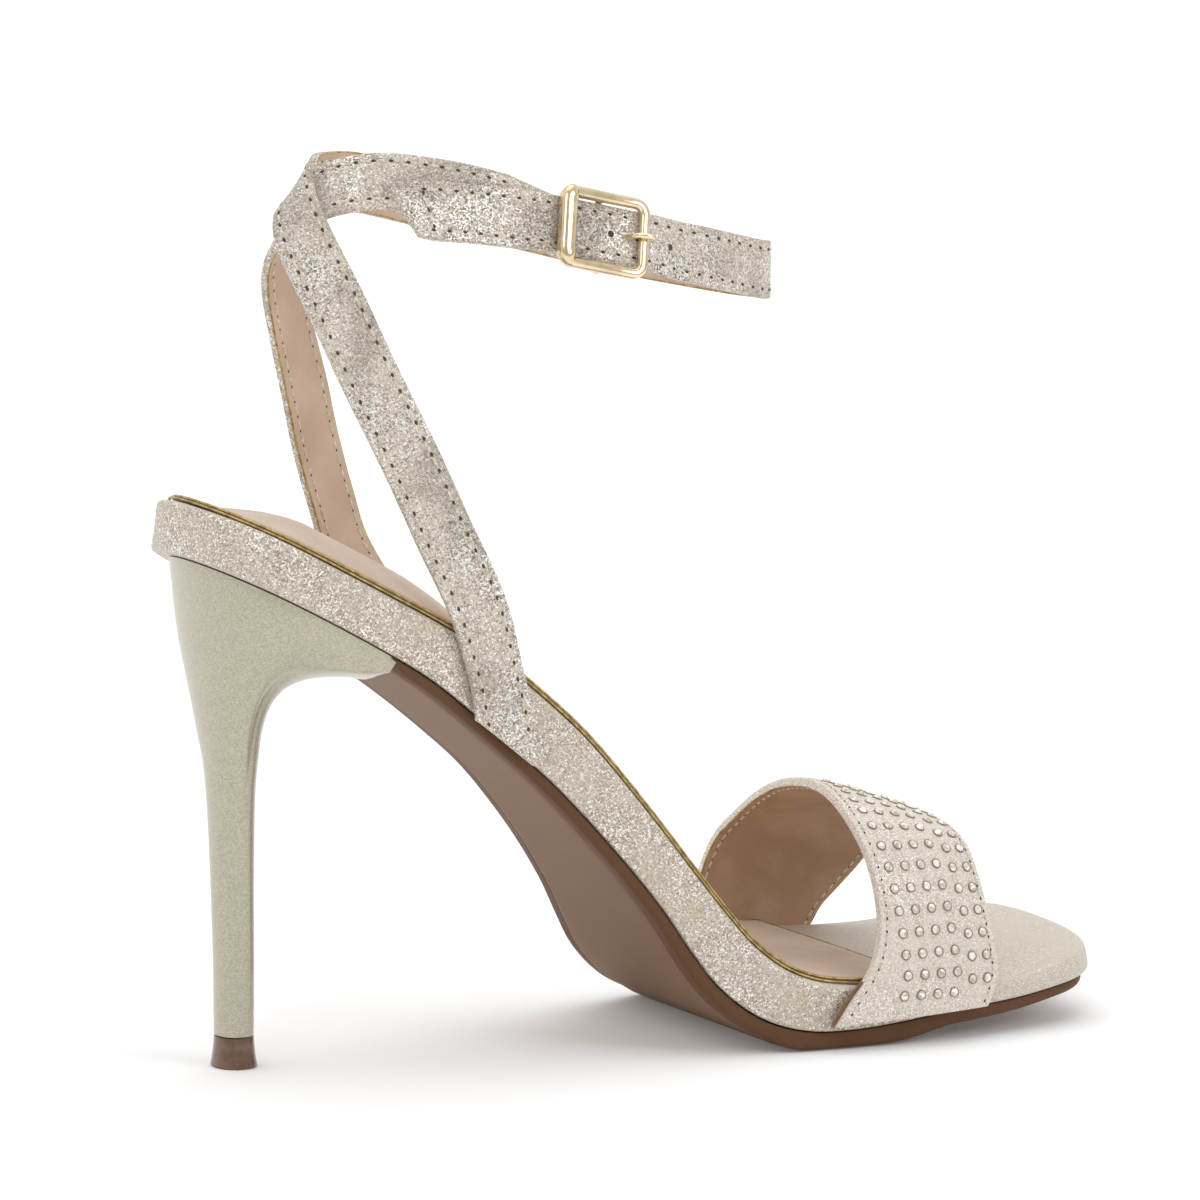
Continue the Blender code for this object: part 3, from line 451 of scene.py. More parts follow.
def glitter_cloth(name, dark, middle, pale, grain, sparkle, weave=0.0, relief=0.00004):
    """Cloth faced with fine foil: flecks that turn their own way, with painted glints and painted
    dark reflections, stronger in painted highlight patches.
    """
    finish = Finish(name, 0.5, 0.2)
    point = finish.point()
    fleck = finish.flecks(point, grain)
    fine = finish.flecks(point, grain * 0.6)
    # Painted highlight zones: soft patches where the flecks' painted glints and dark reflections
    # are stronger.
    highlight_patch = finish.between(finish.clouds(point, 0.012, 2.0), 0.38, 0.66)
    tone = fleck * 0.55 + fine * 0.45
    # Dark flecks: painted dark reflection of foil turned away from the light.
    deep = finish.between(tone, 0.56, 0.14) * (highlight_patch * 0.30 + 0.70)
    shade = finish.mix(deep, middle, dark)
    # Pale flecks: painted glints, also made more metallic and smoother.
    lit = finish.between(tone + highlight_patch * 0.13, 1.00 - sparkle, 1.08 - sparkle)
    colour = finish.mix(lit, shade, pale)
    height = tone * (highlight_patch * 0.6 + 0.4) + lit * 0.4
    if weave > 0:
        along, across = finish.along_across()
        turn = 2 * math.pi / THREAD_PITCH
        threads = ((along + across) * turn).sine() * ((along - across) * turn).sine()
        # The weave's threads show in the dark colour inside soft zones laid at random.
        weave_zone = finish.between(finish.clouds(point, 0.014, 1.0), 0.44, 0.62) * weave
        colour = finish.mix(weave_zone * finish.between(threads, -0.3, 0.3), colour, dark)
        height = height + threads * weave_zone * 0.5
    finish.set("Base Color", colour)
    finish.set("Roughness", 0.55 - lit * 0.25 + fine * 0.10)
    finish.set("Metallic", 0.10 + lit * 0.55)
    finish.bump(height, relief)
    return finish


def board_depth(depth, slab, thick, top_round, bottom_round):
    """The slab's depth drawn to the board's own thickness, its rounded rims kept."""
    if depth <= top_round:
        return depth
    if depth >= slab - bottom_round:
        return thick - (slab - depth)
    share = (depth - top_round) / (slab - top_round - bottom_round)
    return top_round + (thick - top_round - bottom_round) * share


BACK_WALL = (
    # depth: share of the board's thickness, forward: mm
    (0.0, 3.5), (0.06, 2.1), (0.22, 1.7), (0.50, 2.6), (0.84, 4.6), (1.0, 5.7),
)


def back_wall(s, share):
    """How far the board's back is drawn forward at a share of its depth, to stand upright."""
    for (a, low), (b, high) in zip(BACK_WALL, BACK_WALL[1:]):
        if share <= b:
            pull = low + (high - low) * (share - a) / (b - a)
            break
    return pull * MM * max(0.0, 1 - max(0.0, s - 0.002) / 0.014) ** 1.5


BOARD_SLAB, BOARD_TOP_ROUND, BOARD_BOTTOM_ROUND = 0.012, 0.0014, 0.0007
board = cut_slab(plan(END_TRIM, last.length - END_TRIM / 2, 0.0, 0.0, 0.0, -END_TRIM),
                 BOARD_SLAB, BOARD_TOP_ROUND, BOARD_BOTTOM_ROUND, 0.0022, ())
toe_start = last.mark_at(0.1510)
for face in board.faces:
    middle = face.calc_center_median()
    face.material_index = int(middle.x > toe_start - (0.030 if middle.z > -0.001 else 0))
for vertex in board.verts:
    s, y, z = vertex.co
    thick = last.at(s)[3]
    depth = board_depth(-z, BOARD_SLAB, thick, BOARD_TOP_ROUND, BOARD_BOTTOM_ROUND)
    vertex.co = last.place(s + back_wall(s, min(1.0, max(0.0, depth / thick))), y, -depth)
wrap_cloth = glitter_cloth("board glitter cloth", paint(136, 122, 106), paint(203, 191, 176),
                           paint(253, 250, 245), 0.00034, 0.25)
toe_satin = glitter_cloth("toe satin", paint(178, 168, 154), paint(206, 198, 185),
                          paint(250, 247, 240), 0.00026, 0.08, relief=0.00002)
sole_board = make_piece("sole_board", board, [wrap_cloth.material, toe_satin.material])
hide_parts("insole")


# Sock.
# Soft pink-beige synthetic leather glued on the board, with a foam pad under the heel of the
# foot. A narrow gold cord is laid all round its edge.
SOCK_END = 0.1495
SOCK_THICKNESS = 0.0011
CUSHION_RISE = 0.0052
CUSHION_START = 0.008
CUSHION_LENGTH = 0.076
SOCK_SIDE_IN, SOCK_BACK_IN = 0.0018, 0.0046
sock_pattern = plan(END_TRIM, last.mark_at(SOCK_END), SOCK_SIDE_IN, SOCK_BACK_IN, SOCK_SIDE_IN,
                    -END_TRIM)


def cushion(s, y):
    side = -1 if y < 0 else 1
    across = min(1.0, abs(y) / max(0.001, last.half_width(s, side) - SOCK_SIDE_IN))
    swell = (ease(s, CUSHION_START, CUSHION_START + CUSHION_LENGTH / 4)
             * (1 - ease(s, CUSHION_START + CUSHION_LENGTH / 2, CUSHION_START + CUSHION_LENGTH)))
    return CUSHION_RISE * swell * (1 - across ** 2.6)


sock_shape = cut_slab(sock_pattern, SOCK_THICKNESS, 0.0005, 0.0002, 0.0022,
                      [0.003 * k for k in range(-12, 13)])
for vertex in sock_shape.verts:
    s, y, z = vertex.co
    rise = GAP + SOCK_THICKNESS + z
    rise += cushion(s, y) * min(1.0, 1 + z / SOCK_THICKNESS)
    vertex.co = last.place(s, y, rise)
sock_leather = Finish("soft sock leather", 0.55, Sheen_Weight=0.25)
sock_point = sock_leather.point()
sock_grain = sock_leather.flecks(sock_point, 0.0011)
sock_cloud = sock_leather.clouds(sock_point, 0.012, 4.0)
sock_leather.set("Base Color", sock_leather.mix(
    sock_leather.between(sock_cloud, 0.3, 0.7), paint(188, 160, 137), paint(200, 177, 154)))
sock_leather.set("Roughness", 0.48 + sock_cloud * 0.16)
sock_leather.bump(sock_grain + sock_leather.clouds(sock_point, 0.0009, 3.0), 0.00003)
sock = make_piece("sock", sock_shape, [sock_leather.material])
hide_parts("sock")


def lay_cord(name, points, radius, finish, closed=True, sides=2):
    """A round cord drawn through the points."""
    line = bpy.data.curves.new(name, "CURVE")
    line.dimensions = "3D"
    line.bevel_depth = radius
    line.bevel_resolution = sides
    line.use_fill_caps = not closed
    run = line.splines.new("POLY")
    run.points.add(len(points) - 1)
    for knot, point in zip(run.points, points):
        knot.co = (*point, 1)
    run.use_cyclic_u = closed
    drawn = bpy.data.objects.new(name + "_line", line)
    bpy.context.scene.collection.objects.link(drawn)
    bpy.context.view_layer.update()
    mesh = bpy.data.meshes.new_from_object(
        drawn.evaluated_get(bpy.context.evaluated_depsgraph_get()))
    shape = bmesh.new()
    shape.from_mesh(mesh)
    bpy.data.objects.remove(drawn)
    return make_piece(name, shape, [finish.material])


gold_edge = Finish("old gold edging", 0.38, 0.65)
gold_edge.blotched(0.0014, 2.0, paint(150, 126, 76), paint(196, 172, 116), 0.35, 0.65)
gold_edge.bump(gold_edge.clouds(gold_edge.point(), 0.0006, 2.0), 0.00003)
PIPING = (
    # outward, radius
    (0.0003, 0.00028),
    (0.0008, 0.00024),
)
for number, (outward, radius) in enumerate(PIPING):
    piping_plan = plan(END_TRIM, last.mark_at(SOCK_END + outward), SOCK_SIDE_IN - outward,
                       SOCK_BACK_IN - outward, SOCK_SIDE_IN - outward, -END_TRIM)
    lay_cord("sock_piping_%d" % (number + 1),
             [last.place(s, y, 0.0010 - 0.0006 * number) for s, y in piping_plan], radius,
             gold_edge)


# Outsole.
# A moulded brown sole cemented under the board from the heel's lip to the toe. Its edge stands
# almost upright and its tread is slightly rounded, and it is flat where it meets the floor.
HEEL_LIP_REACH = 0.0410
SEAT_START = 0.0075
LIP_BOW = 0.08
lip = last.mark_at(HEEL_LIP_REACH + 0.46 * BOARD_THICKNESS)
lip_bow = LIP_BOW * (lip - last.mark_at(SEAT_START))
SOLE_SLAB, SOLE_TOP_ROUND, SOLE_BOTTOM_ROUND = 0.0034, 0.0003, 0.0012
SOLE_TUCK = 0.0026


def sole_top(s):
    return -last.at(s)[3] - GAP


def sole_thickness(s):
    base = last.at(s)[6]
    high = last.place(s, 0, sole_top(s))
    to_floor = high.z / (high.z - last.place(s, 0, sole_top(s) - 1).z)
    blend = 1 - ease(abs(to_floor - base), 0.0004, 0.0030)
    return min(base + (to_floor - base) * blend, to_floor)


sole_shape = cut_slab(
    plan(lip - SOLE_TUCK - lip_bow, last.length - END_TRIM / 2, 0.0008, 0.0008, 0.0022, lip_bow),
    SOLE_SLAB, SOLE_TOP_ROUND, SOLE_BOTTOM_ROUND, 0.0022, [0.006 * k for k in range(-6, 7)])
sole_flat = sole_shape.loops.layers.uv.new("cloth")
for face in sole_shape.faces:
    for loop in face.loops:
        s, y, z = loop.vert.co
        loop[sole_flat].uv = (s, last.half_width(s, -1 if y < 0 else 1) - abs(y))
for vertex in sole_shape.verts:
    s, y, z = vertex.co
    skived = 0.25 + 0.75 * ease(s, lip - SOLE_TUCK - lip_bow, lip + 0.0010)
    thick = sole_thickness(s) * skived
    depth = board_depth(-z, SOLE_SLAB, thick, SOLE_TOP_ROUND, min(SOLE_BOTTOM_ROUND, 0.6 * thick))
    side = -1 if y < 0 else 1
    edge = max(0.0, 1 - (last.half_width(s, side) - 0.0008 - abs(y)) / 0.0055)
    depth -= 0.10 * thick * edge ** 2 * min(1.0, max(0.0, -z / SOLE_SLAB))
    vertex.co = last.place(s, y, sole_top(s) - depth)
sole_rubber = Finish("brown sole", 0.55, Specular_IOR_Level=0.15)
sole_point = sole_rubber.point()
sole_cloud = sole_rubber.clouds(sole_point, 0.03, 3.0)
_, from_edge = sole_rubber.along_across()
# Painted shade: the sole within about 5 mm of the board's edge, where it turns away from the light,
# is coloured darker.
painted_rim_shade = sole_rubber.between(from_edge, 0.0062, 0.0050)
# The ridge is a slight raised line in the tread, and its lighter colour is a painted highlight
# along it.
ridge = sole_rubber.between((from_edge - 0.0056).size(), 0.0006, 0.0001)
sole_base = sole_rubber.mix(sole_rubber.between(sole_cloud, 0.3, 0.7), paint(120, 90, 68),
                            paint(132, 102, 79))
sole_with_rim_shade = sole_rubber.mix(painted_rim_shade, sole_base, paint(98, 68, 47))
sole_rubber.set("Base Color", sole_rubber.mix(ridge * 0.5, sole_with_rim_shade, paint(150, 116, 90)))
sole_rubber.set("Roughness", 0.40 + sole_cloud * 0.25)
sole_rubber.bump(sole_rubber.clouds(sole_point, 0.0007, 4.0) * 0.15 + ridge, 0.00025)
tread = make_piece("tread", sole_shape, [sole_rubber.material])
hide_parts("outsole")


# Heel.
# A slim moulded heel with a steel rod inside, sprayed with pearl lacquer. Its cupped top takes
# the seat, its lip runs forward under the arch, and it narrows to the size of the top lift.
HEEL_HALF_WIDTH = 0.0236
LIFT_HEIGHT = 0.0060
LIFT_FLARE = 0.0007
# Half outlines of the heel: each row is a flat section from a point on its back line to a
# point on its breast line. Lengths along are shares of HEEL_LIP_REACH, heights are shares of
# SEAT_HEIGHT, half widths are shares of HEEL_HALF_WIDTH. round_end and ridge are shares of the
# section: where its round back ends, and where the side turns into the nose. flat is 2 for a
# shallow nose and 1 for a round one.
HEEL = (
    # back, back_z, front, front_z, half, at_ridge, round_end, ridge, flat
    (0.078, 0.874, 0.971, 0.682, 0.995, 0.990, 0.50, 0.90, 1.9),
    (0.088, 0.849, 0.927, 0.669, 0.965, 0.960, 0.48, 0.82, 1.6),
    (0.098, 0.818, 0.841, 0.675, 0.905, 0.945, 0.46, 0.77, 1.3),
    (0.110, 0.780, 0.722, 0.677, 0.820, 0.810, 0.45, 0.70, 1.1),
    (0.124, 0.735, 0.629, 0.672, 0.715, 0.650, 0.45, 0.62, 1.0),
    (0.144, 0.686, 0.551, 0.659, 0.605, 0.520, 0.45, 0.60, 1.0),
    (0.166, 0.633, 0.493, 0.634, 0.495, 0.430, 0.45, 0.58, 1.0),
    (0.188, 0.579, 0.458, 0.596, 0.405, 0.365, 0.45, 0.57, 1.0),
    (0.210, 0.526, 0.444, 0.552, 0.330, 0.315, 0.45, 0.56, 1.0),
    (0.222, 0.463, 0.432, 0.488, 0.270, 0.265, 0.44, 0.56, 1.0),
    (0.234, 0.345, 0.430, 0.357, 0.222, 0.220, 0.43, 0.57, 1.0),
    (0.247, 0.180, 0.434, 0.183, 0.190, 0.190, 0.42, 0.58, 1.0),
)
HEEL_TIP = (0.251, 0.432, 0.182, 0.42, 0.58)  # back, front, half, round_end, ridge at the lift
HEEL_POINTS = 64


def heel_ring(back, front, half, at_ridge, round_end, ridge, flat):
    """One flat section of the heel, from its back line round the outer side and nose."""
    quarter, side = HEEL_POINTS // 6, HEEL_POINTS // 2 - 2 * (HEEL_POINTS // 6)
    points = []
    for k in range(quarter):
        turn = math.pi / 2 * k / quarter
        points.append((round_end * (1 - math.cos(turn)), half * math.sin(turn)))
    for k in range(side):
        t = k / side
        points.append((round_end + (ridge - round_end) * t, half + (at_ridge - half) * t * t))
    for k in range(quarter + 1):
        turn = math.pi / 2 * k / quarter
        points.append((ridge + (1 - ridge) * math.sin(turn) ** flat, at_ridge * math.cos(turn)))
    whole = [(u, -w) for u, w in points] + [(u, w) for u, w in points[1:-1]][::-1]
    return [back.lerp(front, u) + Vector((0, w, 0)) for u, w in whole]


def rim_edges(shape, loop):
    return [shape.edges.get((a, b)) for a, b in zip(loop, loop[1:] + loop[:1])]


def draw_rings(rings, joined=False):
    """A solid drawn out from ring to ring. Joined, its last ring meets the first one, and
    otherwise both are closed by a flat end."""
    shape = bmesh.new()
    bmesh.ops.create_circle(shape, cap_ends=not joined, segments=len(rings[0]), radius=0.01)
    shape.verts.ensure_lookup_table()
    first = loop = shape.verts[:]
    for vertex, point in zip(loop, rings[0]):
        vertex.co = point
    for ring in rings[1:]:
        pulled = bmesh.ops.extrude_edge_only(shape, edges=rim_edges(shape, loop))["geom"]
        follow = {}
        for vertex in (thing for thing in pulled if isinstance(thing, bmesh.types.BMVert)):
            for edge in vertex.link_edges:
                if edge.other_vert(vertex) in loop:
                    follow[edge.other_vert(vertex)] = vertex
        loop = [follow[vertex] for vertex in loop]
        for vertex, point in zip(loop, ring):
            vertex.co = point
    if joined:
        bmesh.ops.bridge_loops(shape, edges=rim_edges(shape, first) + rim_edges(shape, loop))
    else:
        bmesh.ops.contextual_create(shape, geom=loop)
    return shape


def tip_ring(height, grown):
    back, front, half, round_end, ridge = HEEL_TIP
    half = half * HEEL_HALF_WIDTH + grown
    return [point + shift for point in heel_ring(
        Vector((back * HEEL_LIP_REACH - grown, 0, height)),
        Vector((front * HEEL_LIP_REACH + grown, 0, height)), half, half, round_end, ridge, 1.0)]


seat_back = last.mark_at(SEAT_START)
flat_top = heel_ring(Vector((0, 0, 0)), Vector((1, 0, 0)), HEEL_HALF_WIDTH, HEEL_HALF_WIDTH,
                     0.50, 1 - LIP_BOW, 2.0)
seat_ring = []
for point in flat_top:
    s = seat_back + (lip - seat_back) * point.x
    seat_ring.append(last.place(s, point.y, sole_top(s)))
heel_rings = [seat_ring]
sections = [(b * HEEL_LIP_REACH, bz * SEAT_HEIGHT, 0.0, f * HEEL_LIP_REACH, fz * SEAT_HEIGHT,
             half * HEEL_HALF_WIDTH, ridge_half * HEEL_HALF_WIDTH, round_end, ridge, flat)
            for b, bz, f, fz, half, ridge_half, round_end, ridge, flat in HEEL]
for b, bz, _, f, fz, half, ridge_half, round_end, ridge, flat in smooth_rows(sections, 46):
    ring = heel_ring(Vector((b, 0, bz)), Vector((f, 0, fz)), half, ridge_half, round_end, ridge,
                     max(1.0, flat))
    heel_rings.append([point + shift for point in ring])
heel_rings.append(tip_ring(LIFT_HEIGHT + GAP, 0.0))
lacquer = Finish("pearl heel lacquer", 0.30, 0.25, Coat_Weight=0.35, Coat_Roughness=0.12)
heel_point = lacquer.point()
pearl = lacquer.flecks(heel_point, 0.00024)
lacquer.set("Base Color", lacquer.mix(
    lacquer.between(pearl, 0.0, 1.0), paint(168, 161, 141), paint(192, 186, 167)))
lacquer.set("Roughness", 0.30 + pearl * 0.12)
lacquer.set("Metallic", 0.20 + pearl * 0.25)
lacquer.bump(lacquer.clouds(heel_point, 0.0012, 3.0), 0.00002)
heel = make_piece("heel_block", draw_rings(heel_rings), [lacquer.material])
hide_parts("heel")


# Top lift.
# A small brown polyurethane lift pinned under the heel's tip, flared to the floor, its side
# polished.
LIFT = (
    # up: share of LIFT_HEIGHT, out: share of LIFT_FLARE
    (1.0, 0.0), (0.98, 0.05), (0.75, 0.15), (0.5, 0.36), (0.3, 0.62), (0.12, 0.90),
    (0.05, 1.0), (0.02, 0.85), (0.0, 0.6),
)
lift_shape = draw_rings([tip_ring(up * LIFT_HEIGHT, out * LIFT_FLARE) for up, out in LIFT])
lift_gloss = Finish("polished brown lift", 0.22, Coat_Weight=0.5, Coat_Roughness=0.08)
lift_gloss.blotched(0.0018, 3.0, paint(92, 62, 44), paint(110, 78, 57))
lift_gloss.bump(lift_gloss.clouds(lift_gloss.point(), 0.0007, 2.0), 0.00003)
lift = make_piece("lift", lift_shape, [lift_gloss.material])
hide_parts("top_lift")


# Toe band.
# Satin cloth with a fine shimmer, lined with tan synthetic leather and stitched along both
# edges. Its ends are drawn over the board's sides and cemented between board and outsole.
BAND_HEIGHT = 0.0500
BAND_WALL = 0.0020
BAND_CROWN = 0.0006
# The toe band's two edges on its outer face, from the outer root over the toes to the inner root.
# Lengths along are shares of SHOE_LENGTH, across are shares of the band's half width, up are
# shares of BAND_HEIGHT.
BAND = (
    # back_x, back_y, back_z, front_x, front_y, front_z
    (0.643, -1.000, 0.105, 0.821, -0.995, 0.135),
    (0.660, -1.010, 0.205, 0.828, -1.000, 0.200),
    (0.677, -1.010, 0.290, 0.833, -0.990, 0.285),
    (0.691, -0.990, 0.385, 0.832, -0.955, 0.390),
    (0.698, -0.962, 0.500, 0.830, -0.910, 0.500),
    (0.699, -0.912, 0.635, 0.827, -0.848, 0.625),
    (0.697, -0.830, 0.765, 0.824, -0.765, 0.740),
    (0.694, -0.690, 0.882, 0.822, -0.645, 0.805),
    (0.699, -0.460, 0.958, 0.824, -0.440, 0.830),
    (0.707, -0.190, 0.983, 0.832, -0.210, 0.820),
    (0.713, 0.080, 0.964, 0.844, 0.030, 0.788),
    (0.718, 0.340, 0.918, 0.858, 0.270, 0.743),
    (0.719, 0.570, 0.842, 0.869, 0.490, 0.668),
    (0.715, 0.755, 0.742, 0.873, 0.670, 0.580),
    (0.708, 0.880, 0.650, 0.870, 0.795, 0.490),
    (0.700, 0.940, 0.540, 0.857, 0.880, 0.395),
    (0.693, 0.965, 0.430, 0.843, 0.935, 0.315),
    (0.682, 0.975, 0.300, 0.833, 0.960, 0.235),
    (0.668, 0.980, 0.200, 0.825, 0.965, 0.180),
    (0.655, 0.975, 0.105, 0.819, 0.960, 0.130),
)
band_half = 0.5 * BALL_WIDTH + GAP + BAND_WALL
band_rows = smooth_rows([(bx * SHOE_LENGTH, by * band_half, bz * BAND_HEIGHT, fx * SHOE_LENGTH,
                          fy * band_half, fz * BAND_HEIGHT)
                         for bx, by, bz, fx, fy, fz in BAND], 161)


def band_spot(along, across):
    """A point on the band's face: along from the outer root, across from its back edge."""
    step = min(max(along, 0.0), 1.0) * (len(band_rows) - 1)
    k = min(int(step), len(band_rows) - 2)
    row = [a + (b - a) * (step - k) for a, b in zip(band_rows[k], band_rows[k + 1])]
    return Vector(row[:3]).lerp(Vector(row[3:]), across) + shift


def band_place(along, across, rise):
    run = band_spot(along + 0.01, across) - band_spot(along - 0.01, across)
    over = band_spot(along, across + 0.05) - band_spot(along, across - 0.05)
    out = over.cross(run).normalized()
    crown = BAND_CROWN * 4 * across * (1 - across)
    return band_spot(along, across) + out * (crown + rise)


def make_strip(name, place, long, wide, thick, steps, lanes, finishes, rim=0.0004):
    """A strip cut flat, its rims rounded, then laid along the last by place().
    finishes are its face, its lining and its cut edge."""
    strip = bmesh.new()
    bmesh.ops.create_grid(strip, x_segments=steps, y_segments=lanes, size=0.5)
    bmesh.ops.scale(strip, vec=(long, wide, 1), verts=strip.verts)
    thicken(strip, thick)
    rims = [e for e in strip.edges if e.is_manifold and e.calc_face_angle() > 1]
    bmesh.ops.bevel(strip, geom=rims, offset=rim, segments=3, profile=0.5, affect="EDGES",
                    material=-1)
    flat = strip.loops.layers.uv.new("cloth")
    for face in strip.faces:
        face.normal_update()
        up = face.normal.z
        face.material_index = 0 if up > -0.30 else 1 if up < -0.97 else 2
        for loop in face.loops:
            loop[flat].uv = loop.vert.co.xy
    for vertex in strip.verts:
        x, y, z = vertex.co
        vertex.co = place(x / long + 0.5, y / wide + 0.5, z)
    return make_piece(name, strip, [f.material for f in finishes], 80)


band_face = glitter_cloth("toe band satin", paint(178, 164, 150), paint(220, 210, 199),
                          paint(255, 253, 249), 0.00026, 0.20, relief=0.00003)
lining = Finish("tan lining", 0.6)
lining.blotched(0.010, 4.0, paint(176, 143, 116), paint(192, 160, 133))
lining.bump(lining.flecks(lining.point(), 0.0008), 0.00003)
band = make_strip("toe_strap", band_place, 0.135, 0.031, BAND_WALL, 90, 14,
                  [band_face, lining, gold_edge])
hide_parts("toe_band")

thread = Finish("beige thread", 0.6, Sheen_Weight=0.3)
thread.set("Base Color", thread.mix(thread.flecks(thread.point(), 0.0004), paint(176, 164, 142),
                                    paint(226, 217, 200)))
# Painted shade: dark discs laid where the needle and the punched holes are, for the shade inside
# them.
painted_hole_shade = Finish("needle hole shade", 0.9)
painted_hole_shade.set("Base Color", painted_hole_shade.mix(
    painted_hole_shade.clouds(painted_hole_shade.point(), 0.0008), paint(52, 44, 34), paint(88, 76, 60)))


def spot_frame(place, along, across, rise, step=0.004):
    """Where a small thing lies on a strip, as a matrix that turns and places it."""
    run = place(along + step, across, rise) - place(along - step, across, rise)
    over = place(along, across + 0.04, rise) - place(along, across - 0.04, rise)
    run.normalize()
    out = run.cross(over).normalized()
    toward = place(along, across, rise + 0.001) - place(along, across, rise)
    if out.dot(toward) < 0:
        out = -out
    turn = Matrix((run, out.cross(run), out)).transposed().to_4x4()
    return Matrix.Translation(place(along, across, rise)) @ turn


def even_marks(place, across, start, end, pitch):
    """Shares along a strip that lie one pitch apart on it."""
    count = 240
    shares = [start + (end - start) * k / count for k in range(count + 1)]
    points = [place(t, across, 0) for t in shares]
    walked = [0.0]
    for a, b in zip(points, points[1:]):
        walked.append(walked[-1] + (b - a).length)
    total = int(walked[-1] / pitch)
    marks, k = [], 0
    for n in range(total + 1):
        want = n * pitch + (walked[-1] - total * pitch) / 2
        while k < count - 1 and walked[k + 1] < want:
            k += 1
        share = (want - walked[k]) / (walked[k + 1] - walked[k])
        marks.append(shares[k] + (shares[k + 1] - shares[k]) * share)
    return marks


def add_bead(shape, seat, long, wide, high, around=6, levels=4):
    bmesh.ops.create_uvsphere(shape, u_segments=around, v_segments=levels, radius=1,
                              matrix=seat @ Matrix.Diagonal((long, wide, high, 1)))


def sew(name, place, seams, thick, pitch=0.0034, needle=0.00052):
    """Rows of stitches sunk in a strip, with a dark disc at each stitch's ends that paints the
    shade inside the hole the needle made.
    """
    stitches, holes = bmesh.new(), bmesh.new()
    for across, start, end in seams:
        marks = even_marks(place, across, start, end, pitch)
        for rise, hole in ((0.00002, needle), (-thick - 0.00002, 0.6 * needle)):
            for near, far in zip(marks, marks[1:]):
                add_bead(stitches, spot_frame(place, (near + far) / 2, across, rise),
                         0.36 * pitch, 0.00030, 0.00020)
            for mark in marks:
                add_bead(holes, spot_frame(place, mark, across, rise), hole, 0.62 * hole, 0.00008)
    make_piece(name + "_stitches", stitches, [thread.material])
    make_piece(name + "_needle_hole_shade", holes, [painted_hole_shade.material])


sew("toe_strap", band_place, [(0.05, 0.02, 0.98), (0.95, 0.02, 0.98)], BAND_WALL,
    0.0026, 0.00036)
raw_edge = Finish("raw copper edge", 0.5, 0.3)
raw_edge.set("Base Color", raw_edge.mix(raw_edge.clouds(raw_edge.point(), 0.0008),
                                        paint(98, 66, 42), paint(150, 108, 74)))
lay_cord("toe_strap_raw_edge", [band_place(0.008 * k, -0.012, -0.55 * BAND_WALL)
                                for k in range(12)], 0.00035, raw_edge, False)

# Stones.
# Clear glass stones with a pale gold foil back, each held by a small cup that is ironed
# on the cloth; the cup is coloured dark to paint the shade round the stone's rim. Six columns
# follow the band's front edge, the two front ones half a step on.
STONE_COLUMNS = (
    # from_front, start: share of a step
    (0.0027, 0.6), (0.0062, 0.6), (0.0100, 0.0), (0.0138, 0.0), (0.0176, 0.0), (0.0214, 0.0),
)
STONE_PITCH = 0.0044
glass = Finish("foiled glass stone", 0.08, 0.15, Coat_Weight=1.0, Coat_Roughness=0.04)
glass.set("Base Color", glass.mix(glass.flecks(glass.point(), 0.0008), paint(188, 175, 154),
                                  paint(255, 252, 245)))
# The cup's dark colour is painted shade round each stone's rim.
rim_shade_cup = Finish("stone cup rim shade", 0.4, 0.3)
rim_shade_cup.set("Base Color", rim_shade_cup.mix(rim_shade_cup.clouds(rim_shade_cup.point(), 0.001), paint(116, 103, 84),
                              paint(158, 145, 122)))
stones, cups = bmesh.new(), bmesh.new()
stone_marks = even_marks(band_place, 0.6, 0.03, 0.97, STONE_PITCH)
stone_step = stone_marks[1] - stone_marks[0]
for from_front, start in STONE_COLUMNS:
    for number, mark in enumerate(stone_marks[:-1]):
        along = mark + start * stone_step
        wide = (band_spot(along, 1) - band_spot(along, 0)).length
        across = 1 - from_front / wide
        seat = spot_frame(band_place, along, across, 0.0)
        bmesh.ops.create_cone(cups, cap_ends=True, segments=12, radius1=0.00110, radius2=0.00102,
                              depth=0.0003, matrix=seat @ Matrix.Translation((0, 0, 0.00008)))
        twist = Matrix.Rotation(0.7 * number + 90 * from_front, 4, "Z")
        bmesh.ops.create_cone(stones, cap_ends=True, segments=8, radius1=0.00096,
                              radius2=0.00042, depth=0.00055,
                              matrix=seat @ Matrix.Translation((0, 0, 0.00040)) @ twist)
make_piece("stone_cups", cups, [rim_shade_cup.material], 30)
make_piece("stones", stones, [glass.material], 10)


# Ankle straps.
# Two straps of foil-faced cloth over tan lining, folded at their edges and stitched. The outer
# one runs up behind the ankle, round its inner side and back to the buckle; the inner one
# crosses it behind the ankle and carries the buckle.
STRAP_WIDTH = 0.0116
STRAP_THICKNESS = 0.0018
STRAP_RISE = 0.1135
BUCKLE_LENGTH = 0.0190
BUCKLE_WIRE = 0.0017
BUCKLE_FACE = 0.0021
BUCKLE_BARREL = 0.0032
PRONG_THICKNESS = 0.0012
BUCKLE_PLACE = 0.4333
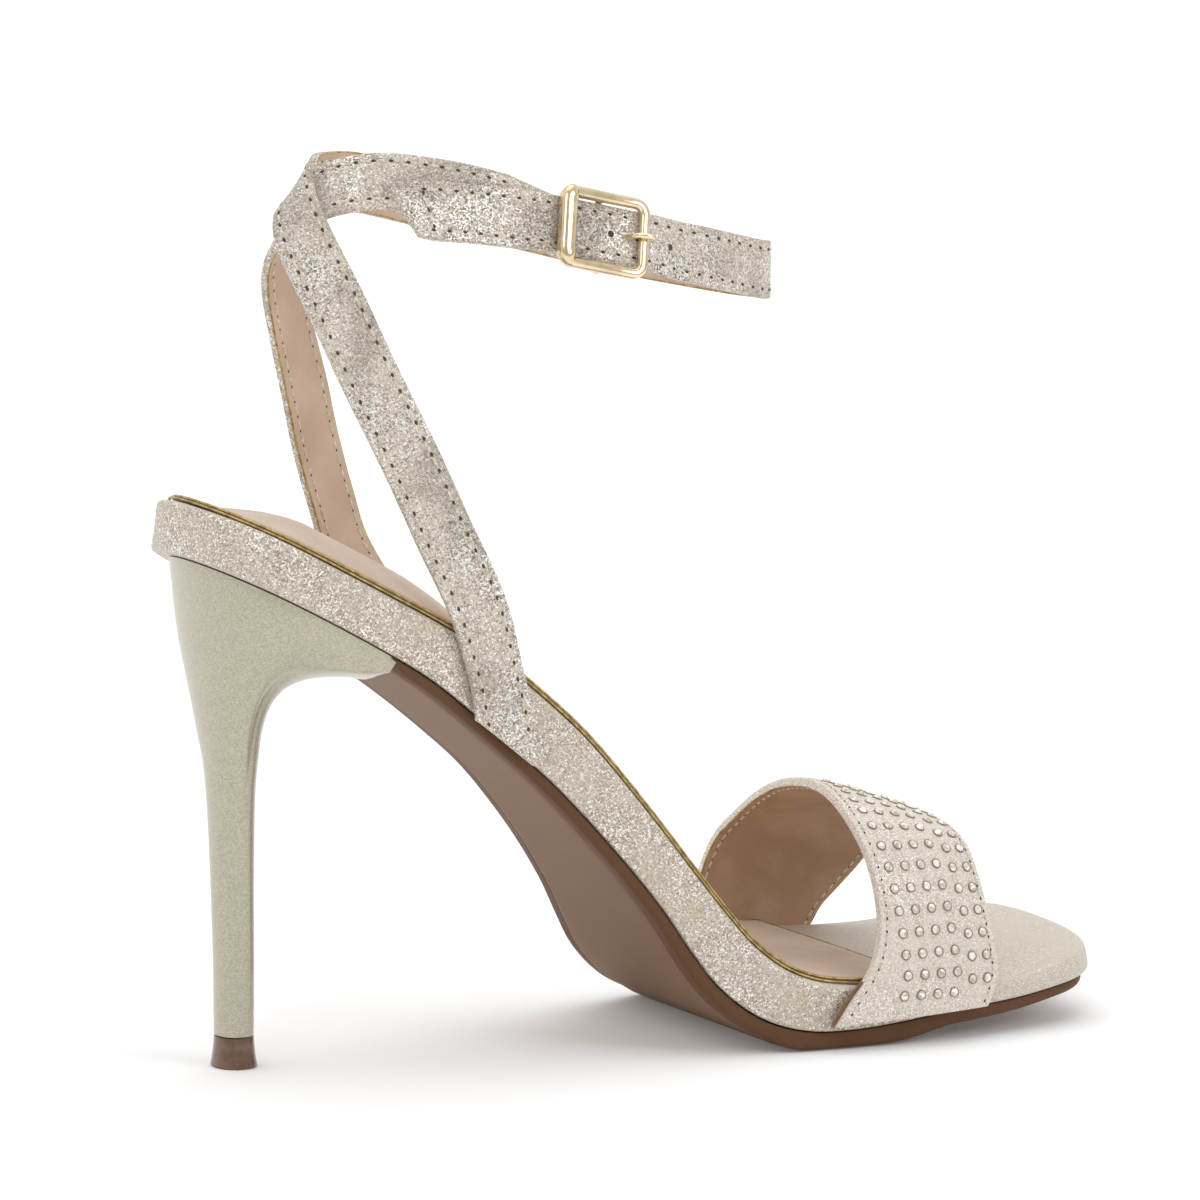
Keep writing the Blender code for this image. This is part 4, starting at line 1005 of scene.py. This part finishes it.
# Centre lines of the ankle straps. x: share of SHOE_LENGTH; y: share of the outer strap's
# distance from the middle at its root; z: share of STRAP_RISE above the root;
# ax, ay, az: direction across the strap; wide: share of STRAP_WIDTH; layer: how many strap
# thicknesses the strap lies outside this line.
OUTER_STRAP = (
    # x, y, z, ax, ay, az, wide, layer
    (0.3123, -1.000, 0.000, 0.78, 0.03, -0.62, 1.22, 0.0),
    (0.3026, -1.002, 0.084, 0.95, 0.03, 0.30, 1.00, 0.0),
    (0.2821, -1.008, 0.209, 0.93, -0.05, 0.36, 1.00, 0.0),
    (0.2456, -0.968, 0.353, 0.914, -0.08, 0.406, 1.00, 0.0),
    (0.2118, -0.900, 0.485, 0.914, -0.08, 0.400, 1.00, 0.0),
    (0.1718, -0.765, 0.637, 0.925, -0.08, 0.380, 1.00, 0.0),
    (0.1446, -0.618, 0.757, 0.930, -0.05, 0.360, 1.00, 0.0),
    (0.1241, -0.494, 0.842, 0.88, 0.00, 0.48, 1.00, 0.0),
    (0.1179, -0.371, 0.892, 0.85, 0.05, 0.52, 1.00, 0.0),
    (0.1262, -0.191, 0.930, 0.74, 0.13, 0.66, 1.00, 0.0),
    (0.1477, 0.008, 0.950, 0.50, 0.20, 0.84, 1.00, 0.0),
    (0.1795, 0.199, 0.949, 0.20, 0.15, 0.97, 1.00, 0.0),
    (0.2205, 0.351, 0.945, 0.08, 0.12, 0.99, 1.00, 0.0),
    (0.2872, 0.454, 0.920, 0.10, 0.10, 0.99, 1.00, 0.0),
    (0.4103, 0.510, 0.872, 0.15, 0.05, 0.99, 1.00, 0.0),
    (0.5385, 0.478, 0.819, 0.15, 0.00, 0.99, 1.00, 0.0),
    (0.6050, 0.331, 0.796, 0.10, 0.00, 0.99, 1.00, 0.0),
    (0.6470, 0.127, 0.783, 0.03, 0.00, 1.00, 1.00, 0.0),
    (0.6630, -0.020, 0.780, 0.03, 0.05, 1.00, 1.00, 0.0),
    (0.6480, -0.147, 0.783, 0.05, 0.10, 0.99, 1.00, 0.0),
    (0.6110, -0.283, 0.796, 0.10, 0.16, 0.98, 1.00, 0.0),
    (0.5667, -0.430, 0.812, 0.14, 0.20, 0.96, 1.00, 0.0),
    (0.5267, -0.482, 0.825, 0.15, 0.24, 0.95, 1.00, 0.3),
    (0.4841, -0.510, 0.839, 0.15, 0.27, 0.95, 0.97, 0.6),
    (0.4333, -0.508, 0.858, 0.15, 0.28, 0.95, 0.97, 0.9),
    (0.3897, -0.508, 0.871, 0.15, 0.28, 0.95, 0.97, 1.2),
    (0.3451, -0.514, 0.883, 0.13, 0.28, 0.95, 1.00, 1.2),
    (0.2769, -0.526, 0.897, 0.10, 0.30, 0.95, 1.00, 1.2),
    (0.2159, -0.524, 0.904, -0.48, 0.30, 0.82, 1.08, 1.2),
)
INNER_STRAP = (
    # x, y, z, ax, ay, az, wide, layer
    (0.3143, 0.875, 0.000, 0.78, -0.14, -0.62, 1.22, 0.0),
    (0.3041, 0.888, 0.088, 0.93, -0.12, 0.32, 1.00, 0.0),
    (0.2800, 0.905, 0.203, 0.92, 0.10, 0.33, 1.00, 0.0),
    (0.2431, 0.916, 0.329, 0.90, 0.32, 0.28, 1.00, 0.0),
    (0.2118, 0.837, 0.471, 0.90, 0.32, 0.28, 1.00, 0.0),
    (0.1856, 0.657, 0.592, 0.89, 0.33, 0.30, 1.00, 0.0),
    (0.1682, 0.550, 0.670, 0.86, 0.38, 0.33, 1.00, 0.0),
    (0.1533, 0.422, 0.728, 0.80, 0.38, 0.42, 1.00, 0.0),
    (0.1395, 0.271, 0.784, 0.75, 0.30, 0.55, 1.00, 0.0),
    (0.1310, 0.104, 0.836, 0.72, 0.15, 0.66, 1.00, 0.0),
    (0.1290, -0.045, 0.876, 0.66, 0.25, 0.68, 1.00, 0.0),
    (0.1335, -0.130, 0.905, 0.46, 0.52, 0.70, 1.00, 0.0),
    (0.1470, -0.210, 0.930, 0.22, 0.58, 0.78, 1.00, 0.0),
    (0.1700, -0.340, 0.948, 0.10, 0.56, 0.80, 1.00, 0.0),
    (0.2051, -0.450, 0.956, 0.05, 0.48, 0.86, 1.00, 0.0),
    (0.2462, -0.505, 0.948, 0.08, 0.38, 0.92, 1.00, 0.0),
    (0.2923, -0.518, 0.933, 0.12, 0.30, 0.94, 1.00, 0.0),
    (0.3385, -0.510, 0.913, 0.15, 0.28, 0.95, 1.00, 0.0),
)
ROOT_DEPTH = 0.0155
strap_root = last.at(last.mark_at(OUTER_STRAP[0][0] * SHOE_LENGTH))[1] - ROOT_DEPTH
strap_half = 0.316 * BALL_WIDTH + GAP + STRAP_THICKNESS / 2 + 0.0001


def strap_frames(rows, steps, side):
    """Centre, across and outward directions and width, step by step along a strap."""
    dense = smooth_rows([(x * SHOE_LENGTH, y * strap_half, strap_root + z * STRAP_RISE, ax, ay,
                          az, wide, layer) for x, y, z, ax, ay, az, wide, layer in rows], steps)
    frames = []
    for k, row in enumerate(dense):
        run = (Vector(dense[min(k + 1, steps - 1)][:3]) - Vector(dense[max(k - 1, 0)][:3]))
        run.normalize()
        across = Vector(row[3:6]).normalized()
        out = (run.cross(across) * side).normalized()
        centre = Vector(row[:3]) + out * row[7] * STRAP_THICKNESS + shift
        frames.append([centre, run, across, out, row[6] * STRAP_WIDTH])
    return frames


def beside_board(frames, side):
    """The strap pushed out beside the board wherever it runs below its top edge."""
    for strip in frames:
        centre, _, across, out, wide = strip
        push = 0.0
        for share in (-0.5, -0.25, 0.0, 0.25, 0.5):
            point = centre + across * (share * wide) - out * (STRAP_THICKNESS / 2)
            s, rise = last.nearest(point)
            if rise <= 0.012:
                room = last.half_width(s, side) + 1.5 * GAP - abs(point.y - shift.y)
                push = max(push, room * (1 - ease(rise, 0.0, 0.012)))
        strip[0] = centre + Vector((0, side * push, 0))


OUTER_STEPS, INNER_STEPS = 149, 89
outer_frames = strap_frames(OUTER_STRAP, OUTER_STEPS, -1)
inner_frames = strap_frames(INNER_STRAP, INNER_STEPS, 1)
beside_board(outer_frames[:40], -1)
beside_board(inner_frames[:32], 1)
buckle_at = min(
    outer_frames[OUTER_STEPS // 2:],
    key=lambda f: abs(f[0].x - shift.x - BUCKLE_PLACE * SHOE_LENGTH) + (f[0].y > shift.y))
buckle_centre, buckle_out = buckle_at[0].copy(), buckle_at[3].copy()
buckle_forward = -buckle_at[1]
buckle_across = (buckle_at[2] - buckle_forward * buckle_at[2].dot(buckle_forward)).normalized()
for strip in outer_frames:
    offset = strip[0] - buckle_centre
    if offset.length < BUCKLE_LENGTH:
        reach = abs(offset.dot(buckle_forward))
        hold = 1 - ease(reach, 0.58 * BUCKLE_LENGTH, 0.95 * BUCKLE_LENGTH)
        straight = buckle_centre + buckle_forward * offset.dot(buckle_forward)
        strip[0] = strip[0].lerp(straight, hold)
        strip[2] = strip[2].lerp(buckle_across, hold).normalized()
        strip[3] = strip[3].lerp(buckle_out, hold).normalized()
bar_level = -(STRAP_THICKNESS / 2 + GAP + BUCKLE_WIRE / 2)
under_bar = bar_level - 0.4 * BUCKLE_WIRE - GAP - STRAP_THICKNESS / 2
for reach, level in ((-0.0060, under_bar + 0.0006), (-0.0015, under_bar), (0.0030, under_bar)):
    inner_frames.append([buckle_centre + buckle_forward * reach + buckle_out * level,
                         buckle_forward, buckle_across, buckle_out, STRAP_WIDTH])


def strap_placer(frames):
    """The function that lays a flat strip along the strap's frames."""
    def place(along, across, rise):
        step = min(max(along, 0.0), 1.0) * (len(frames) - 1)
        k = min(int(step), len(frames) - 2)
        t = step - k
        centre, _, over, out, wide = (a + (b - a) * t for a, b in zip(frames[k], frames[k + 1]))
        over.normalize()
        out.normalize()
        return centre + over * ((across - 0.5) * wide) + out * (rise + STRAP_THICKNESS / 2)
    return place


outer_place = strap_placer(outer_frames)
inner_place = strap_placer(inner_frames)
strap_face = glitter_cloth("strap foil cloth", paint(108, 97, 83), paint(209, 198, 185),
                           paint(255, 253, 249), 0.00034, 0.26, 0.6, 0.00005)
strap_lining = Finish("strap lining", 0.6)
strap_lining.blotched(0.012, 3.0, paint(190, 164, 141), paint(204, 180, 158))
strap_lining.bump(strap_lining.flecks(strap_lining.point(), 0.0008), 0.00003)
outer_strap = make_strip("outer_strap", outer_place, 0.330, STRAP_WIDTH, STRAP_THICKNESS, 170, 8,
                         [strap_face, strap_lining, gold_edge])
inner_strap = make_strip("inner_strap", inner_place, 0.200, STRAP_WIDTH, STRAP_THICKNESS, 110, 8,
                         [strap_face, strap_lining, gold_edge])
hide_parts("ankle_straps")
SEAM = 0.155
sew("outer_strap", outer_place, [(SEAM, 0.012, 0.985), (1 - SEAM, 0.012, 0.985)],
    STRAP_THICKNESS)
sew("tail_end", lambda along, across, rise: outer_place(0.983 + 0.02 * (across - 0.5), along, rise),
    [(0.5, 0.17, 0.83)], STRAP_THICKNESS)
sew("inner_strap", inner_place, [(SEAM, 0.015, 0.96), (1 - SEAM, 0.015, 0.96)],
    STRAP_THICKNESS)


# Buckle.
# A cast and plated pale gold frame. Its rear bar is a fat barrel, its centre bar is under the
# strap and carries the prong, which comes up through a hole and rests on the front bar.
FRAME_INNER = STRAP_WIDTH + 2.7 * GAP
FRAME_CORNER = 0.0022
plating = Finish("pale gold plating", 0.14, 1.0)
plating.blotched(0.004, 2.0, paint(218, 196, 160), paint(238, 220, 188))
plating.set("Roughness", 0.12 + plating.clouds(plating.point(), 0.002, 3.0) * 0.14)
frame_centre = buckle_centre - buckle_across * (1.3 * GAP)
frame_under = STRAP_THICKNESS / 2 + GAP
half_long = (BUCKLE_LENGTH - BUCKLE_WIRE) / 2
half_high = (FRAME_INNER + BUCKLE_WIRE) / 2
BAR_POINTS = 14
ring_path = []
for quarter, (cx, cy) in enumerate(((half_long, half_high), (-half_long, half_high),
                                    (-half_long, -half_high), (half_long, -half_high))):
    for k in range(9):
        turn = math.pi / 2 * (quarter + k / 8)
        x = cx - math.copysign(FRAME_CORNER, cx) + FRAME_CORNER * math.cos(turn)
        y = cy - math.copysign(FRAME_CORNER, cy) + FRAME_CORNER * math.sin(turn)
        ring_path.append((x, y, turn))


def bar_ring(x, y, turn):
    """One cross section of the frame, turned to face along it."""
    swell = ease(-x, 0.70 * half_long, 0.95 * half_long)
    deep = BUCKLE_WIRE + (BUCKLE_BARREL - BUCKLE_WIRE) * swell
    side = buckle_forward * math.cos(turn) + buckle_across * math.sin(turn)
    middle = (frame_centre + buckle_forward * x + buckle_across * y
              + buckle_out * (frame_under + deep / 2))
    face_half = BUCKLE_FACE / 2 + 0.0007 * swell
    points = []
    for k in range(BAR_POINTS):
        a = 2 * math.pi * k / BAR_POINTS
        c, s = math.cos(a), math.sin(a)
        points.append(middle + side * (math.copysign(abs(c) ** 0.7, c) * face_half)
                      + buckle_out * (math.copysign(abs(s) ** 0.7, s) * deep / 2))
    return points


bars = draw_rings([bar_ring(*spot) for spot in ring_path], joined=True)
buckle = make_piece("buckle_ring", bars, [plating.material])
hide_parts("buckle_frame")
reach = half_high
centre_bar = [(reach, frame_under + BUCKLE_WIRE / 2), (reach, bar_level + 0.0012),
              (reach - 0.0004, bar_level + 0.0004), (reach - 0.0012, bar_level)]
centre_bar += [(-y, z) for y, z in centre_bar[::-1]]
lay_cord("centre_bar", [frame_centre + buckle_across * y + buckle_out * z for y, z in centre_bar],
         0.4 * BUCKLE_WIRE, plating, False, 3)
hole_at = BUCKLE_LENGTH / 2 - BUCKLE_WIRE - 0.0026
prong_rest = frame_under + BUCKLE_WIRE + GAP + PRONG_THICKNESS / 2
prong_knots = [(0.001, bar_level), (0.55 * hole_at, bar_level),
               (hole_at - 0.0012, bar_level + 0.0004), (hole_at, 0.0),
               (hole_at + 0.0008, frame_under + 0.0006), (hole_at + 0.0018, prong_rest - 0.0002),
               (BUCKLE_LENGTH / 2 - 0.0008, prong_rest + 0.0002),
               (BUCKLE_LENGTH / 2 + 0.0004, prong_rest)]
prong = lay_cord("prong", [buckle_centre + buckle_forward * x + buckle_out * z
                           for x, z in prong_knots], PRONG_THICKNESS / 2, plating,
                 False, 3)
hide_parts("buckle_prong")
HOLE_REACHES = (0.0012, 0.0083, 0.0154)
# The strap's punched holes are drawn as dark discs that paint the shade inside them.
punched = bmesh.new()
for reach in HOLE_REACHES:
    frame_here = min(outer_frames[OUTER_STEPS // 2:], key=lambda f: (
        abs((f[0] - buckle_centre).dot(buckle_forward) - reach) + (f[0].y > shift.y)))
    centre, run, over, out = frame_here[:4]
    lie = Matrix((run, out.cross(run), out)).transposed().to_4x4()
    add_bead(punched, Matrix.Translation(centre + out * STRAP_THICKNESS / 2) @ lie,
             0.0007, 0.0007, 0.00008, 12, 6)
make_piece("punched_hole_shade", punched, [painted_hole_shade.material])
